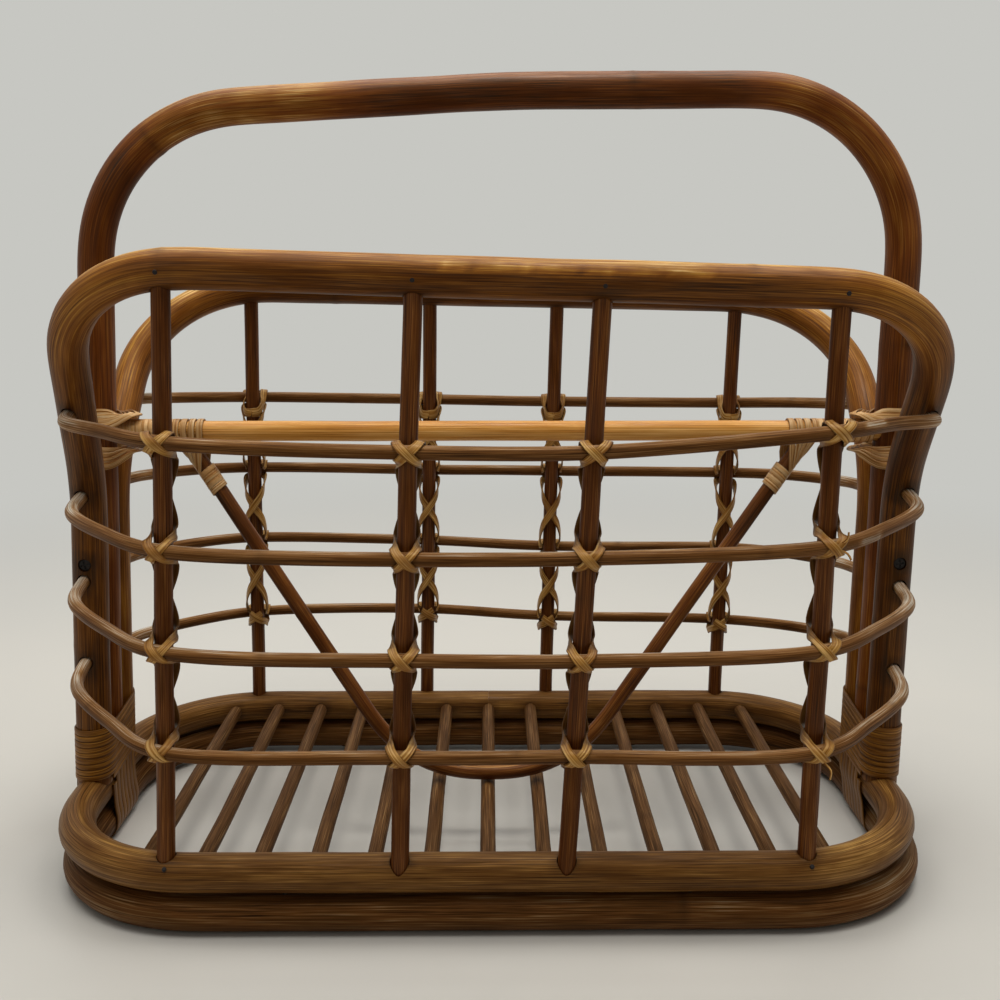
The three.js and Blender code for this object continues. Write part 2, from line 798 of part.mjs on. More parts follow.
const nailHoles = [];
const screwHoles = [];
for (const side of Object.values(walls)) {
  for (const end of Object.values(ends)) {
    nailHoles.push(placed(nailShape(fitGap), nailPlace(side, end), nailTurn));
    screwHoles.push(placed(screwShape(fitGap), screwPlace(side, end), screwTurn[side]));
  }
}

// Base
const lowerRingLine = ringPath(ringLength + lowerRingExtra, lowerRingShift, lowerRingHeight);
const upperRingLine = ringPath(ringLength, 0, upperRingHeight);
const lowerRing = stick(lowerRingLine, poleDiameter, poleSides, up, true);
const upperRing = stick(upperRingLine, poleDiameter, poleSides, up, true);
const ringCope = stick(upperRingLine, poleDiameter + 2 * fitGap, poleSides, up, true);
const upperRingSockets = [
  ...slatLines.map(slatSocket),
  ...staveLines[-1].map(staveSocket),
  ...staveLines[1].map(staveSocket),
  ...nailHoles,
];
add("lower_ring", cut(lowerRing, nailHoles), dustyRattan);
add("upper_ring", cut(upperRing, upperRingSockets), smokedRattan);
slatLines.forEach((line, index) => {
  const slat = stick(line, slatDiameter, stickSides, up);
  add(`floor_slat_${index + 1}`, slat, slatStick);
});

// Uprights
const handle = stick(handleLine, poleDiameter, poleSides, ahead);
const barSocket = socketFor(barLine, barDiameter, poleSides, ahead);
add("handle_hoop", cut(handle, [ringCope, barSocket, ...screwHoles]), smokedRattan);
for (const [wall, side] of Object.entries(walls)) {
  const hoop = stick(hoopLines[side], poleDiameter, poleSides, ahead);
  const sockets = [
    ringCope,
    ...railLines[side].map(railSocket),
    ...staveLines[side].map(staveSocket),
    ...screwHoles,
  ];
  add(`${wall}_hoop`, cut(hoop, sockets), paleRattan);
}

// Walls
for (const [wall, side] of Object.entries(walls)) {
  staveLines[side].forEach((line, index) => {
    add(`${wall}_stave_${index + 1}`, stick(line, staveDiameter, stickSides, ahead), darkStick);
  });
  railLines[side].forEach((line, row) => {
    add(`${wall}_rail_${row + 1}`, stick(line, railDiameter, stickSides, up), railStick);
  });
}

// Divider
add("divider_bar", stick(barLine, barDiameter, poleSides, ahead), goldenBar);
const veeLine = filleted(veeCorners(), [0, veeRadius, veeRadius, 0]);
add("divider_vee", stick(veeLine, veeDiameter, stickSides, ahead), darkStick);

// Fasteners
for (const [wall, side] of Object.entries(walls)) {
  for (const [hand, end] of Object.entries(ends)) {
    add(`leg_screw_${wall}_${hand}`, screwShape(0), steel, screwPlace(side, end), screwTurn[side]);
    add(`base_nail_${wall}_${hand}`, nailShape(0), steel, nailPlace(side, end), nailTurn);
  }
}

// Cane
function addCane(name, stops, width) {
  const rings = strandRings(stops, width);
  add(name, ribbon(rings), flatCane);
  console.log(`${name}: least gap to itself ${leastGap(rings).toFixed(2)} mm`);
}

for (const [wall, side] of Object.entries(walls)) {
  staveLines[side].forEach((line, index) => {
    addCane(`${wall}_lacing_${index + 1}`, laceStops(side, index), laceWidth);
  });
}
for (const [hand, end] of Object.entries(ends)) {
  addCane(`foot_binding_${hand}`, footBindingStops(end), bindingWidth);
  addCane(`foot_lashing_${hand}`, lashingStops(end), bindingWidth);
  addCane(`bar_binding_${hand}`, barBindingStops(end), bindingWidth);
  addCane(`vee_binding_${hand}`, veeBindingStops(end), bindingWidth);
}

// The basket leans, so its middle is found from its own outline
basket.updateMatrixWorld(true);
const outline = new THREE.Box3().setFromObject(basket, true);
const middle = outline.getCenter(new THREE.Vector3());
basket.position.set(-middle.x, -middle.y, 0);

export default basket;
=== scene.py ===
import bpy
import bmesh
import math
import random
from mathutils import Matrix, Quaternion, Vector, noise
from mathutils.bvhtree import BVHTree
from mathutils.interpolate import poly_3d_calc


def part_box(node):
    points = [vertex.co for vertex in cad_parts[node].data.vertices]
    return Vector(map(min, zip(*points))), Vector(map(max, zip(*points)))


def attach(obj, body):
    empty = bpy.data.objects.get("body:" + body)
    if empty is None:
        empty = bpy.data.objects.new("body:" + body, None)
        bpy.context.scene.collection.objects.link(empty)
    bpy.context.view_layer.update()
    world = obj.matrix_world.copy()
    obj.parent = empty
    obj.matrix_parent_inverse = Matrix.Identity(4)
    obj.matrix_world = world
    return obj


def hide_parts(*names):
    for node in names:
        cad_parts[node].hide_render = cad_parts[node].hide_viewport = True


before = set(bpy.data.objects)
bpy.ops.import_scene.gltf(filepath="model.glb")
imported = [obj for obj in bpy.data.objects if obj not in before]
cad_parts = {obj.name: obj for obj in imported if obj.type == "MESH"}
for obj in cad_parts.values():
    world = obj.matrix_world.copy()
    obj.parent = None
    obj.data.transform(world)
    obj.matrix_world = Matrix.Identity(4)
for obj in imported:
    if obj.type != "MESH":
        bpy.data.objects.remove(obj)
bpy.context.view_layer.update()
noise.seed_set(5)  # without it, the unevenness would differ in each run

mm = 0.001
lowCorner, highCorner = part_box("upper_ring")
shift = Vector(((lowCorner.x + highCorner.x) / 2, 0, 0))  # middle of the upper base hoop, in metres

# camera at hand height, close in front

cameraLook = {
    "place": (1.694, -614.2, 303.8),  # mm, from the middle of the base
    "down": 0.1836,  # radians
    "yaw": 0.00835,
    "focalPixels": 1136.9,
    "frameWidth": 1000,
}
cameraData = bpy.data.cameras.new("camera")
cameraData.sensor_width = 36
cameraData.lens = cameraData.sensor_width * cameraLook["focalPixels"] / cameraLook["frameWidth"]
cameraData.clip_start = 0.01
camera = bpy.data.objects.new("camera", cameraData)
bpy.context.collection.objects.link(camera)
camera.location = Vector(cameraLook["place"]) * mm + shift
camera.rotation_euler = (math.pi / 2 - cameraLook["down"], 0, -cameraLook["yaw"])
bpy.context.scene.camera = camera


# centre lines, in millimetres from the middle of the base; -1 is the front wall, 1 the back wall
base = {
    "pole": 18.6, "length": 437, "depth": 222.6, "corner": 75.5, "lowerExtra": 2, "lowerShift": 2,
    "lowerHeight": 9.3, "upperHeight": 29.4, "lean": 0.024,
    "lowerBackRise": 1.1,  # the lower hoop is warped: its back stands this much higher
    "seam": 0.04,  # a hoop's two ends meet at the middle of the back
}
upright = {
    "pole": 18.6, "spread": 218.5, "legSpacing": 18.9, "legFoot": 34.05,
    "height": 399, "rise": 6.4, "arch": 5, "archRadius": 900, "inset": 6.4, "corner": 81.4,
    "rims": {-1: 308.5, 1: 302}, "drops": {-1: 6, 1: 4.3}, "shifts": {-1: 3.2, 1: 0},
    "mouthDepth": 208, "mouthLengths": {-1: 400, 1: 431},
    "knee": 205, "kneeCorner": 60, "rimCorners": {-1: 61, 1: 72.5},
}
deck = base["upperHeight"]  # middle of the hoop that carries floor and walls
poleRadius = upright["pole"] / 2
stave = {
    "stick": 8.6, "middleOut": 4, "middleBow": 5, "socket": 7.5, "parts": 12,
    "feet": {-1: [-153.4, -42.0, 37.1, 152.5], 1: [-153.4, -41.5, 38.5, 151.6]},
    "tops": {-1: [-149.9, -38.9, 45.0, 151.2], 1: [-153.4, -42.4, 36.7, 148.1]},
}
rail = {
    "stick": 6.6,
    "heights": {  # shares of the wall's height: left end, the four staves, right end
        -1: [[0.774, 0.744, 0.73, 0.73, 0.76, 0.771], [0.607, 0.569, 0.559, 0.56, 0.575, 0.612],
             [0.443, 0.401, 0.393, 0.391, 0.401, 0.429], [0.281, 0.231, 0.228, 0.228, 0.226, 0.263]],
        1: [[0.782, 0.757, 0.75, 0.745, 0.743, 0.768], [0.619, 0.59, 0.58, 0.577, 0.575, 0.604],
            [0.446, 0.418, 0.405, 0.39, 0.391, 0.421], [0.261, 0.232, 0.232, 0.213, 0.21, 0.262]],
    },
    "endOut": 0.08, "endDown": 0.25,  # which way it leaves its socket
    "cornerX": 0.842, "cornerY": 0.415, "cornerRise": 0.3, "side": 0.42,
    "standOff": 7.8, "slant": math.pi / 6,
}
slat = {"stick": 7.8, "count": 13, "span": 333.0}
bar = {"stick": 11, "height": 228, "socket": 7.5}
vee = {"stick": 8, "top": 0.765, "foot": 88, "corner": 70, "swing": 16, "barGap": 0.3, "slatGap": 0.2}


def leaned(x, y, z):
    return Vector((x + base["lean"] * (z - deck), y, z))


def filleted(corners, radii, closed=False, arcStep=math.radians(4)):
    count = len(corners)
    line = [] if closed else [corners[0].copy()]
    for i in range(0 if closed else 1, count if closed else count - 1):
        corner = corners[i]
        back = (corners[i - 1] - corner).normalized()
        on = (corners[(i + 1) % count] - corner).normalized()
        opening = back.angle(on)
        sweep = math.pi - opening
        centre = corner + (back + on).normalized() * (radii[i] / math.sin(opening / 2))
        spoke = corner + back * (radii[i] / math.tan(opening / 2)) - centre
        axis = (-back).cross(on).normalized()
        steps = max(2, math.ceil(sweep / arcStep))
        for k in range(steps + 1):
            line.append(centre + Quaternion(axis, sweep * k / steps) @ spoke)
    if not closed:
        line.append(corners[-1].copy())
    return line


def smoothLine(points, perSpan):  # a springy curve through all the points
    points = [points[0] * 2 - points[1], *points, points[-1] * 2 - points[-2]]
    line = [points[1].copy()]
    for i in range(1, len(points) - 2):
        a, b, c, d = points[i - 1:i + 3]
        ta, tb, tc = (max((q - p).length, 1e-6) ** 0.5 for p, q in ((a, b), (b, c), (c, d)))
        leave = ((b - a) / ta - (c - a) / (ta + tb) + (c - b) / tb) * tb
        reach = ((c - b) / tb - (d - b) / (tb + tc) + (d - c) / tc) * tb
        for k in range(1, perSpan + 1):
            t = k / perSpan
            line.append(
                b * (2 * t ** 3 - 3 * t ** 2 + 1) + leave * (t ** 3 - 2 * t ** 2 + t)
                + c * (3 * t ** 2 - 2 * t ** 3) + reach * (t ** 3 - t ** 2)
            )
    return line


def spans(line):  # distance travelled at each point
    run = [0.0]
    for a, b in zip(line, line[1:]):
        run.append(run[-1] + (b - a).length)
    return run


partsPerCut = 90  # one round of cutting makes 100 cuts at most
creaseAngle = math.radians(40)


def evenCount(length, step):  # a number of parts that two rounds of cutting can make
    want = max(2, round(length / step))
    rounds = math.ceil(want / partsPerCut)
    return rounds * math.ceil(want / rounds)


def evenly(line, step, *extras):  # the same line with its points evenly apart, and what goes with them
    run = spans(line)
    count = evenCount(run[-1], step)
    rows, i = [[] for _ in range(1 + len(extras))], 0
    for k in range(count + 1):
        want = run[-1] * k / count
        while i < len(run) - 2 and run[i + 1] < want:
            i += 1
        t = (want - run[i]) / max(run[i + 1] - run[i], 1e-9)
        for row, values in zip(rows, (line, *extras)):
            row.append(values[i].lerp(values[i + 1], t))
    return rows if extras else rows[0]


def relaxed(line, passes):
    for _ in range(passes):
        line = [line[0]] + [
            (line[i - 1] + line[i] * 2 + line[i + 1]) / 4 for i in range(1, len(line) - 1)
        ] + [line[-1]]
    return line


def steamed(line, passes=8):  # bends start and end softly, as they do in steamed rattan
    return relaxed(evenly(line, 4), passes)


def ringLine(length, across, z, backRise=0):
    x, y = length / 2, base["depth"] / 2
    corners = [Vector(c) for c in ((x, y, z), (x, -y, z), (-x, -y, z), (-x, y, z))]
    loop = filleted(corners, [base["corner"]] * 4, closed=True)
    ends = [Vector((half * base["seam"], y, z)) for half in (0.5, -0.5)]
    line = steamed([ends[0], *loop, ends[1]], 6)
    return [spot + Vector((across, 0, backRise * max(0, spot.y / y))) for spot in line]


def legSpread(z):
    share = (z - deck) / (upright["height"] - deck)
    return upright["spread"] - upright["inset"] * share


def handleLine():
    spread, height = legSpread(upright["height"]), upright["height"]
    corners = [
        leaned(-upright["spread"], 0, upright["legFoot"]),
        leaned(-spread, 0, height - upright["rise"]),
        leaned(0, 0, height + upright["arch"]),
        leaned(spread, 0, height + upright["rise"]),
        leaned(upright["spread"], 0, upright["legFoot"]),
    ]
    radii = [0, upright["corner"], upright["archRadius"], upright["corner"], 0]
    return steamed(filleted(corners, radii))


def rimHeight(side, x):
    return upright["rims"][side] - upright["drops"][side] * x / (upright["mouthLengths"][side] / 2)


def hoopLine(side):
    footY, rimY = side * upright["legSpacing"], side * upright["mouthDepth"] / 2
    knee, half = legSpread(upright["knee"]), upright["mouthLengths"][side] / 2
    left, right = upright["shifts"][side] - half, upright["shifts"][side] + half
    corners = [
        leaned(-upright["spread"], footY, upright["legFoot"]),
        leaned(-knee, footY, upright["knee"]),
        leaned(left, rimY, rimHeight(side, left)),
        leaned(right, rimY, rimHeight(side, right)),
        leaned(knee, footY, upright["knee"]),
        leaned(upright["spread"], footY, upright["legFoot"]),
    ]
    kneeR, rimR = upright["kneeCorner"], upright["rimCorners"][side]
    return steamed(filleted(corners, [0, kneeR, rimR, rimR, kneeR, 0]))


handleRun = handleLine()
hoopRuns = {side: hoopLine(side) for side in (-1, 1)}


def legAt(line, end, z):
    run = line if end < 0 else line[::-1]
    for low, high in zip(run, run[1:]):
        if high.z > z:
            return low.lerp(high, (z - low.z) / (high.z - low.z))


def staveAt(side, index, z):
    foot, top = stave["feet"][side][index], stave["tops"][side][index]
    middle = index in (1, 2)
    footY = base["depth"] / 2 + (stave["middleOut"] if middle else 0)
    share = (z - deck) / (rimHeight(side, top) - deck)
    bow = 4 * stave["middleBow"] * share * (1 - share) if middle else 0
    y = side * (footY + (upright["mouthDepth"] / 2 - footY) * share + bow)
    return leaned(foot + (top - foot) * share, y, z)


def staveLine(side, index):
    low = deck + poleRadius - stave["socket"]
    high = rimHeight(side, stave["tops"][side][index]) - poleRadius + stave["socket"]
    return [staveAt(side, index, low + (high - low) * k / stave["parts"]) for k in range(stave["parts"] + 1)]


def railHeight(side, row, place):
    wall = upright["rims"][side] - deck
    return deck + rail["heights"][side][row][place] * wall


def railAtStave(side, row, index):
    middle = index in (1, 2)
    at = staveAt(side, index, railHeight(side, row, index + 1))
    return at + Vector((0, side * rail["standOff"] / (1 if middle else math.cos(rail["slant"])), 0))


def railEnd(side, row, end):  # its points from the socket to the corner, the leg's middle and the way out
    high, low = (railHeight(side, row, place) for place in ((0, 1) if end < 0 else (5, 4)))
    socket = legAt(hoopRuns[side], end, high)
    out = Vector((end * rail["endOut"], side, -rail["endDown"])).normalized()
    mouth = socket + out * (poleRadius + rail["stick"] / 2)
    corner = leaned(
        end * rail["cornerX"] * base["length"] / 2,
        side * rail["cornerY"] * base["depth"],
        low + (high - low) * rail["cornerRise"],
    )
    beside = mouth.lerp(corner, rail["side"])
    beside.x = mouth.x + (corner.x - mouth.x) * rail["side"] ** 2
    return [socket + out * (poleRadius - stave["socket"]), mouth, beside, corner], socket, out


def railLine(side, row):
    left, right = railEnd(side, row, -1)[0], railEnd(side, row, 1)[0][::-1]
    return smoothLine([*left, *[railAtStave(side, row, i) for i in range(4)], *right], perSpan=12)


def slatLine(index):
    x = (index / (slat["count"] - 1) - 0.5) * slat["span"]
    past = max(0, abs(x) - (base["length"] / 2 - base["corner"]))
    half = base["depth"] / 2 - base["corner"] + math.sqrt(base["corner"] ** 2 - past ** 2)
    y = half - base["pole"] / 2 + stave["socket"]
    return [Vector((x, -y, deck)), Vector((x, y, deck))]


def barLine():
    ends = [legAt(handleRun, end, bar["height"]) for end in (-1, 1)]
    into = Vector((poleRadius - bar["socket"], 0, 0))
    return [ends[0] + into, ends[1] - into]


def veeCorners():
    top, half = vee["top"] * legSpread(bar["height"]), vee["foot"] / 2
    topZ = bar["height"] - bar["stick"] / 2 - vee["stick"] / 2 - vee["barGap"]
    footZ = deck + slat["stick"] / 2 + vee["stick"] / 2 + vee["slatGap"]
    return [
        leaned(-top, 0, topZ), leaned(-half, -vee["swing"], footZ),
        leaned(half, -vee["swing"], footZ), leaned(top, 0, topZ),
    ]


# how pieces are made

def clamp(value, low=0.0, high=1.0):
    return max(low, min(high, value))


def deselect():
    if bpy.context.mode != "OBJECT":
        bpy.ops.object.mode_set(mode="OBJECT")
    bpy.ops.object.select_all(action="DESELECT")


def only(piece):
    deselect()
    piece.select_set(True)
    bpy.context.view_layer.objects.active = piece


def pick(piece, what, test):  # in edit mode, selects the edges or faces that pass the test
    bpy.context.tool_settings.mesh_select_mode = (False, what == "edges", what == "faces")
    shape = bmesh.from_edit_mesh(piece.data)
    for part in (*shape.verts, *shape.edges, *shape.faces):
        part.select_set(False)
    for part in getattr(shape, what):
        if test(part):
            part.select_set(True)
    bmesh.update_edit_mesh(piece.data)


def runsLong(edge):
    return abs(edge.verts[0].co.x - edge.verts[1].co.x) > 1e-6


def cutAcross(piece, parts):  # in edit mode
    rounds = math.ceil(parts / partsPerCut)
    for share in (rounds, parts // rounds):
        if share > 1:
            pick(piece, "edges", runsLong)
            bpy.ops.mesh.subdivide(number_cuts=share - 1)


def settle(piece):  # place and turn go into the mesh
    only(piece)
    bpy.ops.object.transform_apply(location=True, rotation=True, scale=True)


def placed(point):
    return point * mm + shift


def addRod(name, sides, diameter, length, middle, turn=(0, 0, 0)):  # its middle is given in metres
    deselect()
    bpy.ops.mesh.primitive_cylinder_add(
        vertices=sides, radius=diameter / 2 * mm, depth=length * mm, location=middle, rotation=turn)
    piece = bpy.context.object
    piece.name = piece.data.name = name
    return piece


def joined(pieces):
    deselect()
    for piece in pieces:
        piece.select_set(True)
    bpy.context.view_layer.objects.active = pieces[0]
    bpy.ops.object.join()
    return bpy.context.object


def cutAway(piece, cutter):
    only(piece)
    cut = piece.modifiers.new("cut", "BOOLEAN")
    cut.object, cut.operation, cut.solver = cutter, "DIFFERENCE", "EXACT"
    bpy.ops.object.modifier_apply(modifier="cut")
    bpy.data.objects.remove(cutter)


def bendAlong(piece, line):
    curve = bpy.data.curves.new("bend", "CURVE")
    curve.dimensions = "3D"
    curve.twist_mode = "MINIMUM"
    curve.use_stretch = True
    curve.use_deform_bounds = True
    spline = curve.splines.new("POLY")
    spline.points.add(len(line) - 1)
    for knot, point in zip(spline.points, line):
        knot.co = (*placed(point), 1)
    bender = bpy.data.objects.new("bend", curve)
    bpy.context.collection.objects.link(bender)
    only(piece)
    bend = piece.modifiers.new("bend", "CURVE")
    bend.object = bender
    bend.deform_axis = "POS_X"
    bpy.ops.object.modifier_apply(modifier="bend")
    bpy.data.objects.remove(bender)
    bpy.data.curves.remove(curve)


def setPoints(piece, name, values):
    kind, field = ("FLOAT_VECTOR", "vector") if name == "grain" else ("FLOAT", "value")
    layer = piece.data.attributes.get(name) or piece.data.attributes.new(name, kind, "POINT")
    flat = [number for value in values for number in value] if name == "grain" else values
    layer.data.foreach_set(field, flat)


def getPoints(piece, name):
    layer, count = piece.data.attributes[name], len(piece.data.vertices)
    flat = [0.0] * count * (3 if name == "grain" else 1)
    layer.data.foreach_get("vector" if name == "grain" else "value", flat)
    return [Vector(flat[i:i + 3]) for i in range(0, len(flat), 3)] if name == "grain" else flat


uneven = {  # mm along the stick, and shares of its diameter
    "firstKnot": (40, 200), "nextKnot": (190, 290), "knotWidth": 1.8, "knotRise": 0.016, "knotSkew": 1.5,
    "drift": 70, "swell": 35, "swellShare": 0.012, "calmEnd": 12, "endBevel": 0.05, "grainStart": (1, 40),
}


# A straight stick with its knots and unevenness, then bent along its line
def bentStick(name, line, diameter, seed, sides=24, station=4, straight=0.25, knots=None, eased=True):
    chance = random.Random(seed)
    line = evenly(line, station)
    length = spans(line)[-1]
    piece = addRod(name, sides, diameter, length, (length / 2 * mm, 0, 0), (0, math.pi / 2, 0))
    settle(piece)
    bpy.ops.object.mode_set(mode="EDIT")
    cutAcross(piece, len(line) - 1)
    ends = (0, length * mm)
    if eased:
        pick(piece, "edges", lambda edge: not runsLong(edge)
             and min(abs(edge.verts[0].co.x - x) for x in ends) < 1e-6)
        bpy.ops.mesh.bevel(offset=diameter * uneven["endBevel"] * mm, segments=2)
    bpy.ops.object.mode_set(mode="OBJECT")
    if knots is None:
        knots, at = [], chance.uniform(*uneven["firstKnot"])
        while at < length:
            knots.append(at)
            at += chance.uniform(*uneven["nextKnot"])
    start = chance.uniform(*uneven["grainStart"])
    grain, ring = [], []
    for vertex in piece.data.vertices:
        x, y, z = vertex.co
        grain.append((x + start, y, z))
        along = x / mm
        skew = along + uneven["knotSkew"] * math.sin(math.atan2(z, y) + seed)
        near = min((abs(skew - knot) for knot in knots), default=99)
        ring.append(math.exp(-(near / uneven["knotWidth"]) ** 2)
                    * (0.6 + 0.8 * noise.noise(Vector((y * 300, z * 300, seed)))))
        drift = noise.noise_vector(Vector((along / uneven["drift"] + seed * 7, seed * 3, 0)))
        swell = noise.noise(Vector((along / uneven["swell"], seed * 5, math.atan2(z, y) * 0.4)))
        radial = Vector((0, y, z))
        if radial.length > 1e-7:
            radial.normalize()
        push = diameter * uneven["knotRise"] * mm * ring[-1] + swell * diameter * uneven["swellShare"] * mm
        hold = clamp(min(along, length - along) / uneven["calmEnd"])
        vertex.co = Vector((x, y, z)) + radial * push * hold
        vertex.co += Vector((0, drift.y, drift.z)) * straight * mm * hold
    setPoints(piece, "grain", grain)
    setPoints(piece, "knot", ring)
    setPoints(piece, "tone", [0.0] * len(grain))
    bendAlong(piece, line)
    return piece


# Drilled sockets (middle, way, diameter and depth of each): the grain is carried over from the bare stick,
# and the walls inside are darkened with painted shade
def drill(piece, holes):
    faces = [tuple(face.vertices) for face in piece.data.polygons]
    spots = [vertex.co.copy() for vertex in piece.data.vertices]
    grain, knots = getPoints(piece, "grain"), getPoints(piece, "knot")
    skin = BVHTree.FromPolygons(spots, faces)
    cutter = joined([
        addRod("cutter", 20, diameter, depth, placed(at), way.to_track_quat("Z", "Y").to_euler())
        for at, way, diameter, depth in holes
    ])
    settle(cutter)
    cutAway(piece, cutter)
    newGrain, newKnots, tone = [], [], []
    for vertex in piece.data.vertices:
        spot, _, index, away = skin.find_nearest(vertex.co)
        corners = faces[index]
        weights = poly_3d_calc([spots[c] for c in corners], spot)
        newGrain.append(sum((grain[c] * w for c, w in zip(corners, weights)), Vector()))
        newKnots.append(sum(knots[c] * w for c, w in zip(corners, weights)))
        tone.append(-1.0 if away > 0.2 * mm else 0.0)  # painted shade inside the hole
    setPoints(piece, "grain", newGrain)
    setPoints(piece, "knot", newKnots)
    setPoints(piece, "tone", tone)


# Darkens (or, with a positive depth, gilds) the skin round some places: stains and amber, and also painted
# shade and a painted highlight
def shiftTone(piece, places, reach, depth):
    tone = getPoints(piece, "tone")
    spots = [placed(place) for place in places]
    for vertex in piece.data.vertices:
        near = min((vertex.co - spot).length for spot in spots) / mm
        blur = 1 + 0.35 * noise.noise(vertex.co * 180)  # a ragged edge, in lumps of 6 mm
        share = max(0.0, 1 - near / (reach * blur))
        if share > 0:
            tone[vertex.index] += depth * share ** 1.3
    setPoints(piece, "tone", [clamp(value, -1.0) for value in tone])


# Painted light where a pole faces up, and painted shade below it; only above some height
def paintLightAndShade(piece, share, above=0):
    tone = getPoints(piece, "tone")
    for vertex, normal in zip(piece.data.vertices, piece.data.vertex_normals):
        blur = 0.85 + 0.5 * noise.noise(vertex.co * 14)  # in lumps of 7 cm
        high = clamp((vertex.co.z / mm - above) / 25)  # it comes in over 25 mm
        tone[vertex.index] += share * blur * high * (1.5 * max(0.0, normal.vector.z) ** 2 - 0.4)
    setPoints(piece, "tone", [clamp(value, -1.0) for value in tone])


cane = {"edgeBevel": 0.42, "crown": 0.12, "vary": 0.1, "varyLength": 22}  # shares, and a length in mm


# Flat cane: a crowned strip with soft edges, laid along its stops: place, the way it faces
# and, if there is a third value, how much painted shade it has
def layCane(name, stops, width, seed, thickness=0.9, perSpan=6, station=1.5):
    chance = random.Random(seed)
    places = smoothLine([stop[0] for stop in stops], perSpan)
    faces = smoothLine([stop[1] for stop in stops], perSpan)
    shades = [stop[2] if len(stop) > 2 else 0 for stop in stops]
    shades = [Vector((shades[i // perSpan], 0, 0)) for i in range(len(places))]
    places, faces, shades = evenly(places, station, faces, shades)
    length = spans(places)[-1]
    deselect()
    bpy.ops.mesh.primitive_cube_add(size=1, location=(length / 2 * mm, 0, 0),
                                    scale=(length * mm, width * mm, thickness * mm))
    piece = bpy.context.object
    piece.name = piece.data.name = name
    settle(piece)
    bpy.ops.object.mode_set(mode="EDIT")
    pick(piece, "edges", runsLong)
    bpy.ops.mesh.bevel(offset=thickness * cane["edgeBevel"] * mm, segments=2)
    cutAcross(piece, len(places) - 1)
    bpy.ops.object.mode_set(mode="OBJECT")
    frames = []
    last = len(places) - 1
    for i, place in enumerate(places):
        along = (places[min(i + 1, last)] - places[max(i - 1, 0)]).normalized()
        across = along.cross(faces[i]).normalized()
        frames.append((place, across, across.cross(along)))
    start = chance.uniform(*uneven["grainStart"])
    grain, edge, hidden = [], [], []
    for vertex in piece.data.vertices:
        x, y, z = vertex.co
        grain.append((x + start, y, z))
        aside = 2 * y / (width * mm)  # -1 to 1, from edge to edge
        # near the edges, where the finish paints shade
        edge.append(abs(aside) ** 4)
        i = min(last, max(0, round(x / (length * mm) * last)))
        hidden.append(shades[i].x)
        place, across, out = frames[i]
        narrow = 1 + cane["vary"] * noise.noise(Vector((x / mm / cane["varyLength"], seed * 3.7, 0)))
        crown = cane["crown"] * thickness * (1 - aside ** 2) if z > 0 else 0
        vertex.co = placed(place + across * (y / mm * narrow) + out * (z / mm + crown))
    setPoints(piece, "grain", grain)
    setPoints(piece, "edge", edge)
    setPoints(piece, "hidden", hidden)
    return piece


def finishPiece(piece, nodes, slot, look=None):  # without a look, it has the slot's own
    only(piece)
    bpy.ops.object.shade_smooth_by_angle(angle=creaseAngle)
    piece.data.materials.clear()
    piece.data.materials.append(look or looks[slot])
    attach(piece, "root")
    if nodes:
        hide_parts(*nodes)


# materials

def linear(hexColour):
    channels = [int(hexColour[i:i + 2], 16) / 255 for i in (1, 3, 5)]
    return (*[c / 12.92 if c <= 0.04045 else ((c + 0.055) / 1.055) ** 2.4 for c in channels], 1)


def addNode(tree, kind, settings=None, links=None):  # a link from a node leaves its first output
    node = tree.nodes.new("ShaderNode" + kind)
    for key, value in (settings or {}).items():
        if key == "stops":
            while len(node.color_ramp.elements) < len(value):
                node.color_ramp.elements.new(1)
            for element, (position, colour) in zip(node.color_ramp.elements, value):
                element.position, element.color = position, linear(colour)
        elif isinstance(key, int) or key in node.inputs:
            node.inputs[key].default_value = linear(value) if isinstance(value, str) else value
        else:
            setattr(node, key, value)
    for key, source in (links or {}).items():
        tree.links.new(source.outputs[0] if hasattr(source, "outputs") else source, node.inputs[key])
    return node


def newMaterial(name):
    material = bpy.data.materials.new(name)
    material.use_nodes = True
    tree = material.node_tree
    tree.nodes.clear()
    return material, tree


def streaks(tree, grain, sizes, settings):  # noise drawn out along the stick: its three sizes in mm
    stretched = addNode(tree, "VectorMath", {
        "operation": "MULTIPLY", 1: [1 / (size * mm) for size in sizes],
    }, {0: grain.outputs["Vector"]})
    return addNode(tree, "TexNoise", {"Scale": 1, **settings}, {"Vector": stretched})


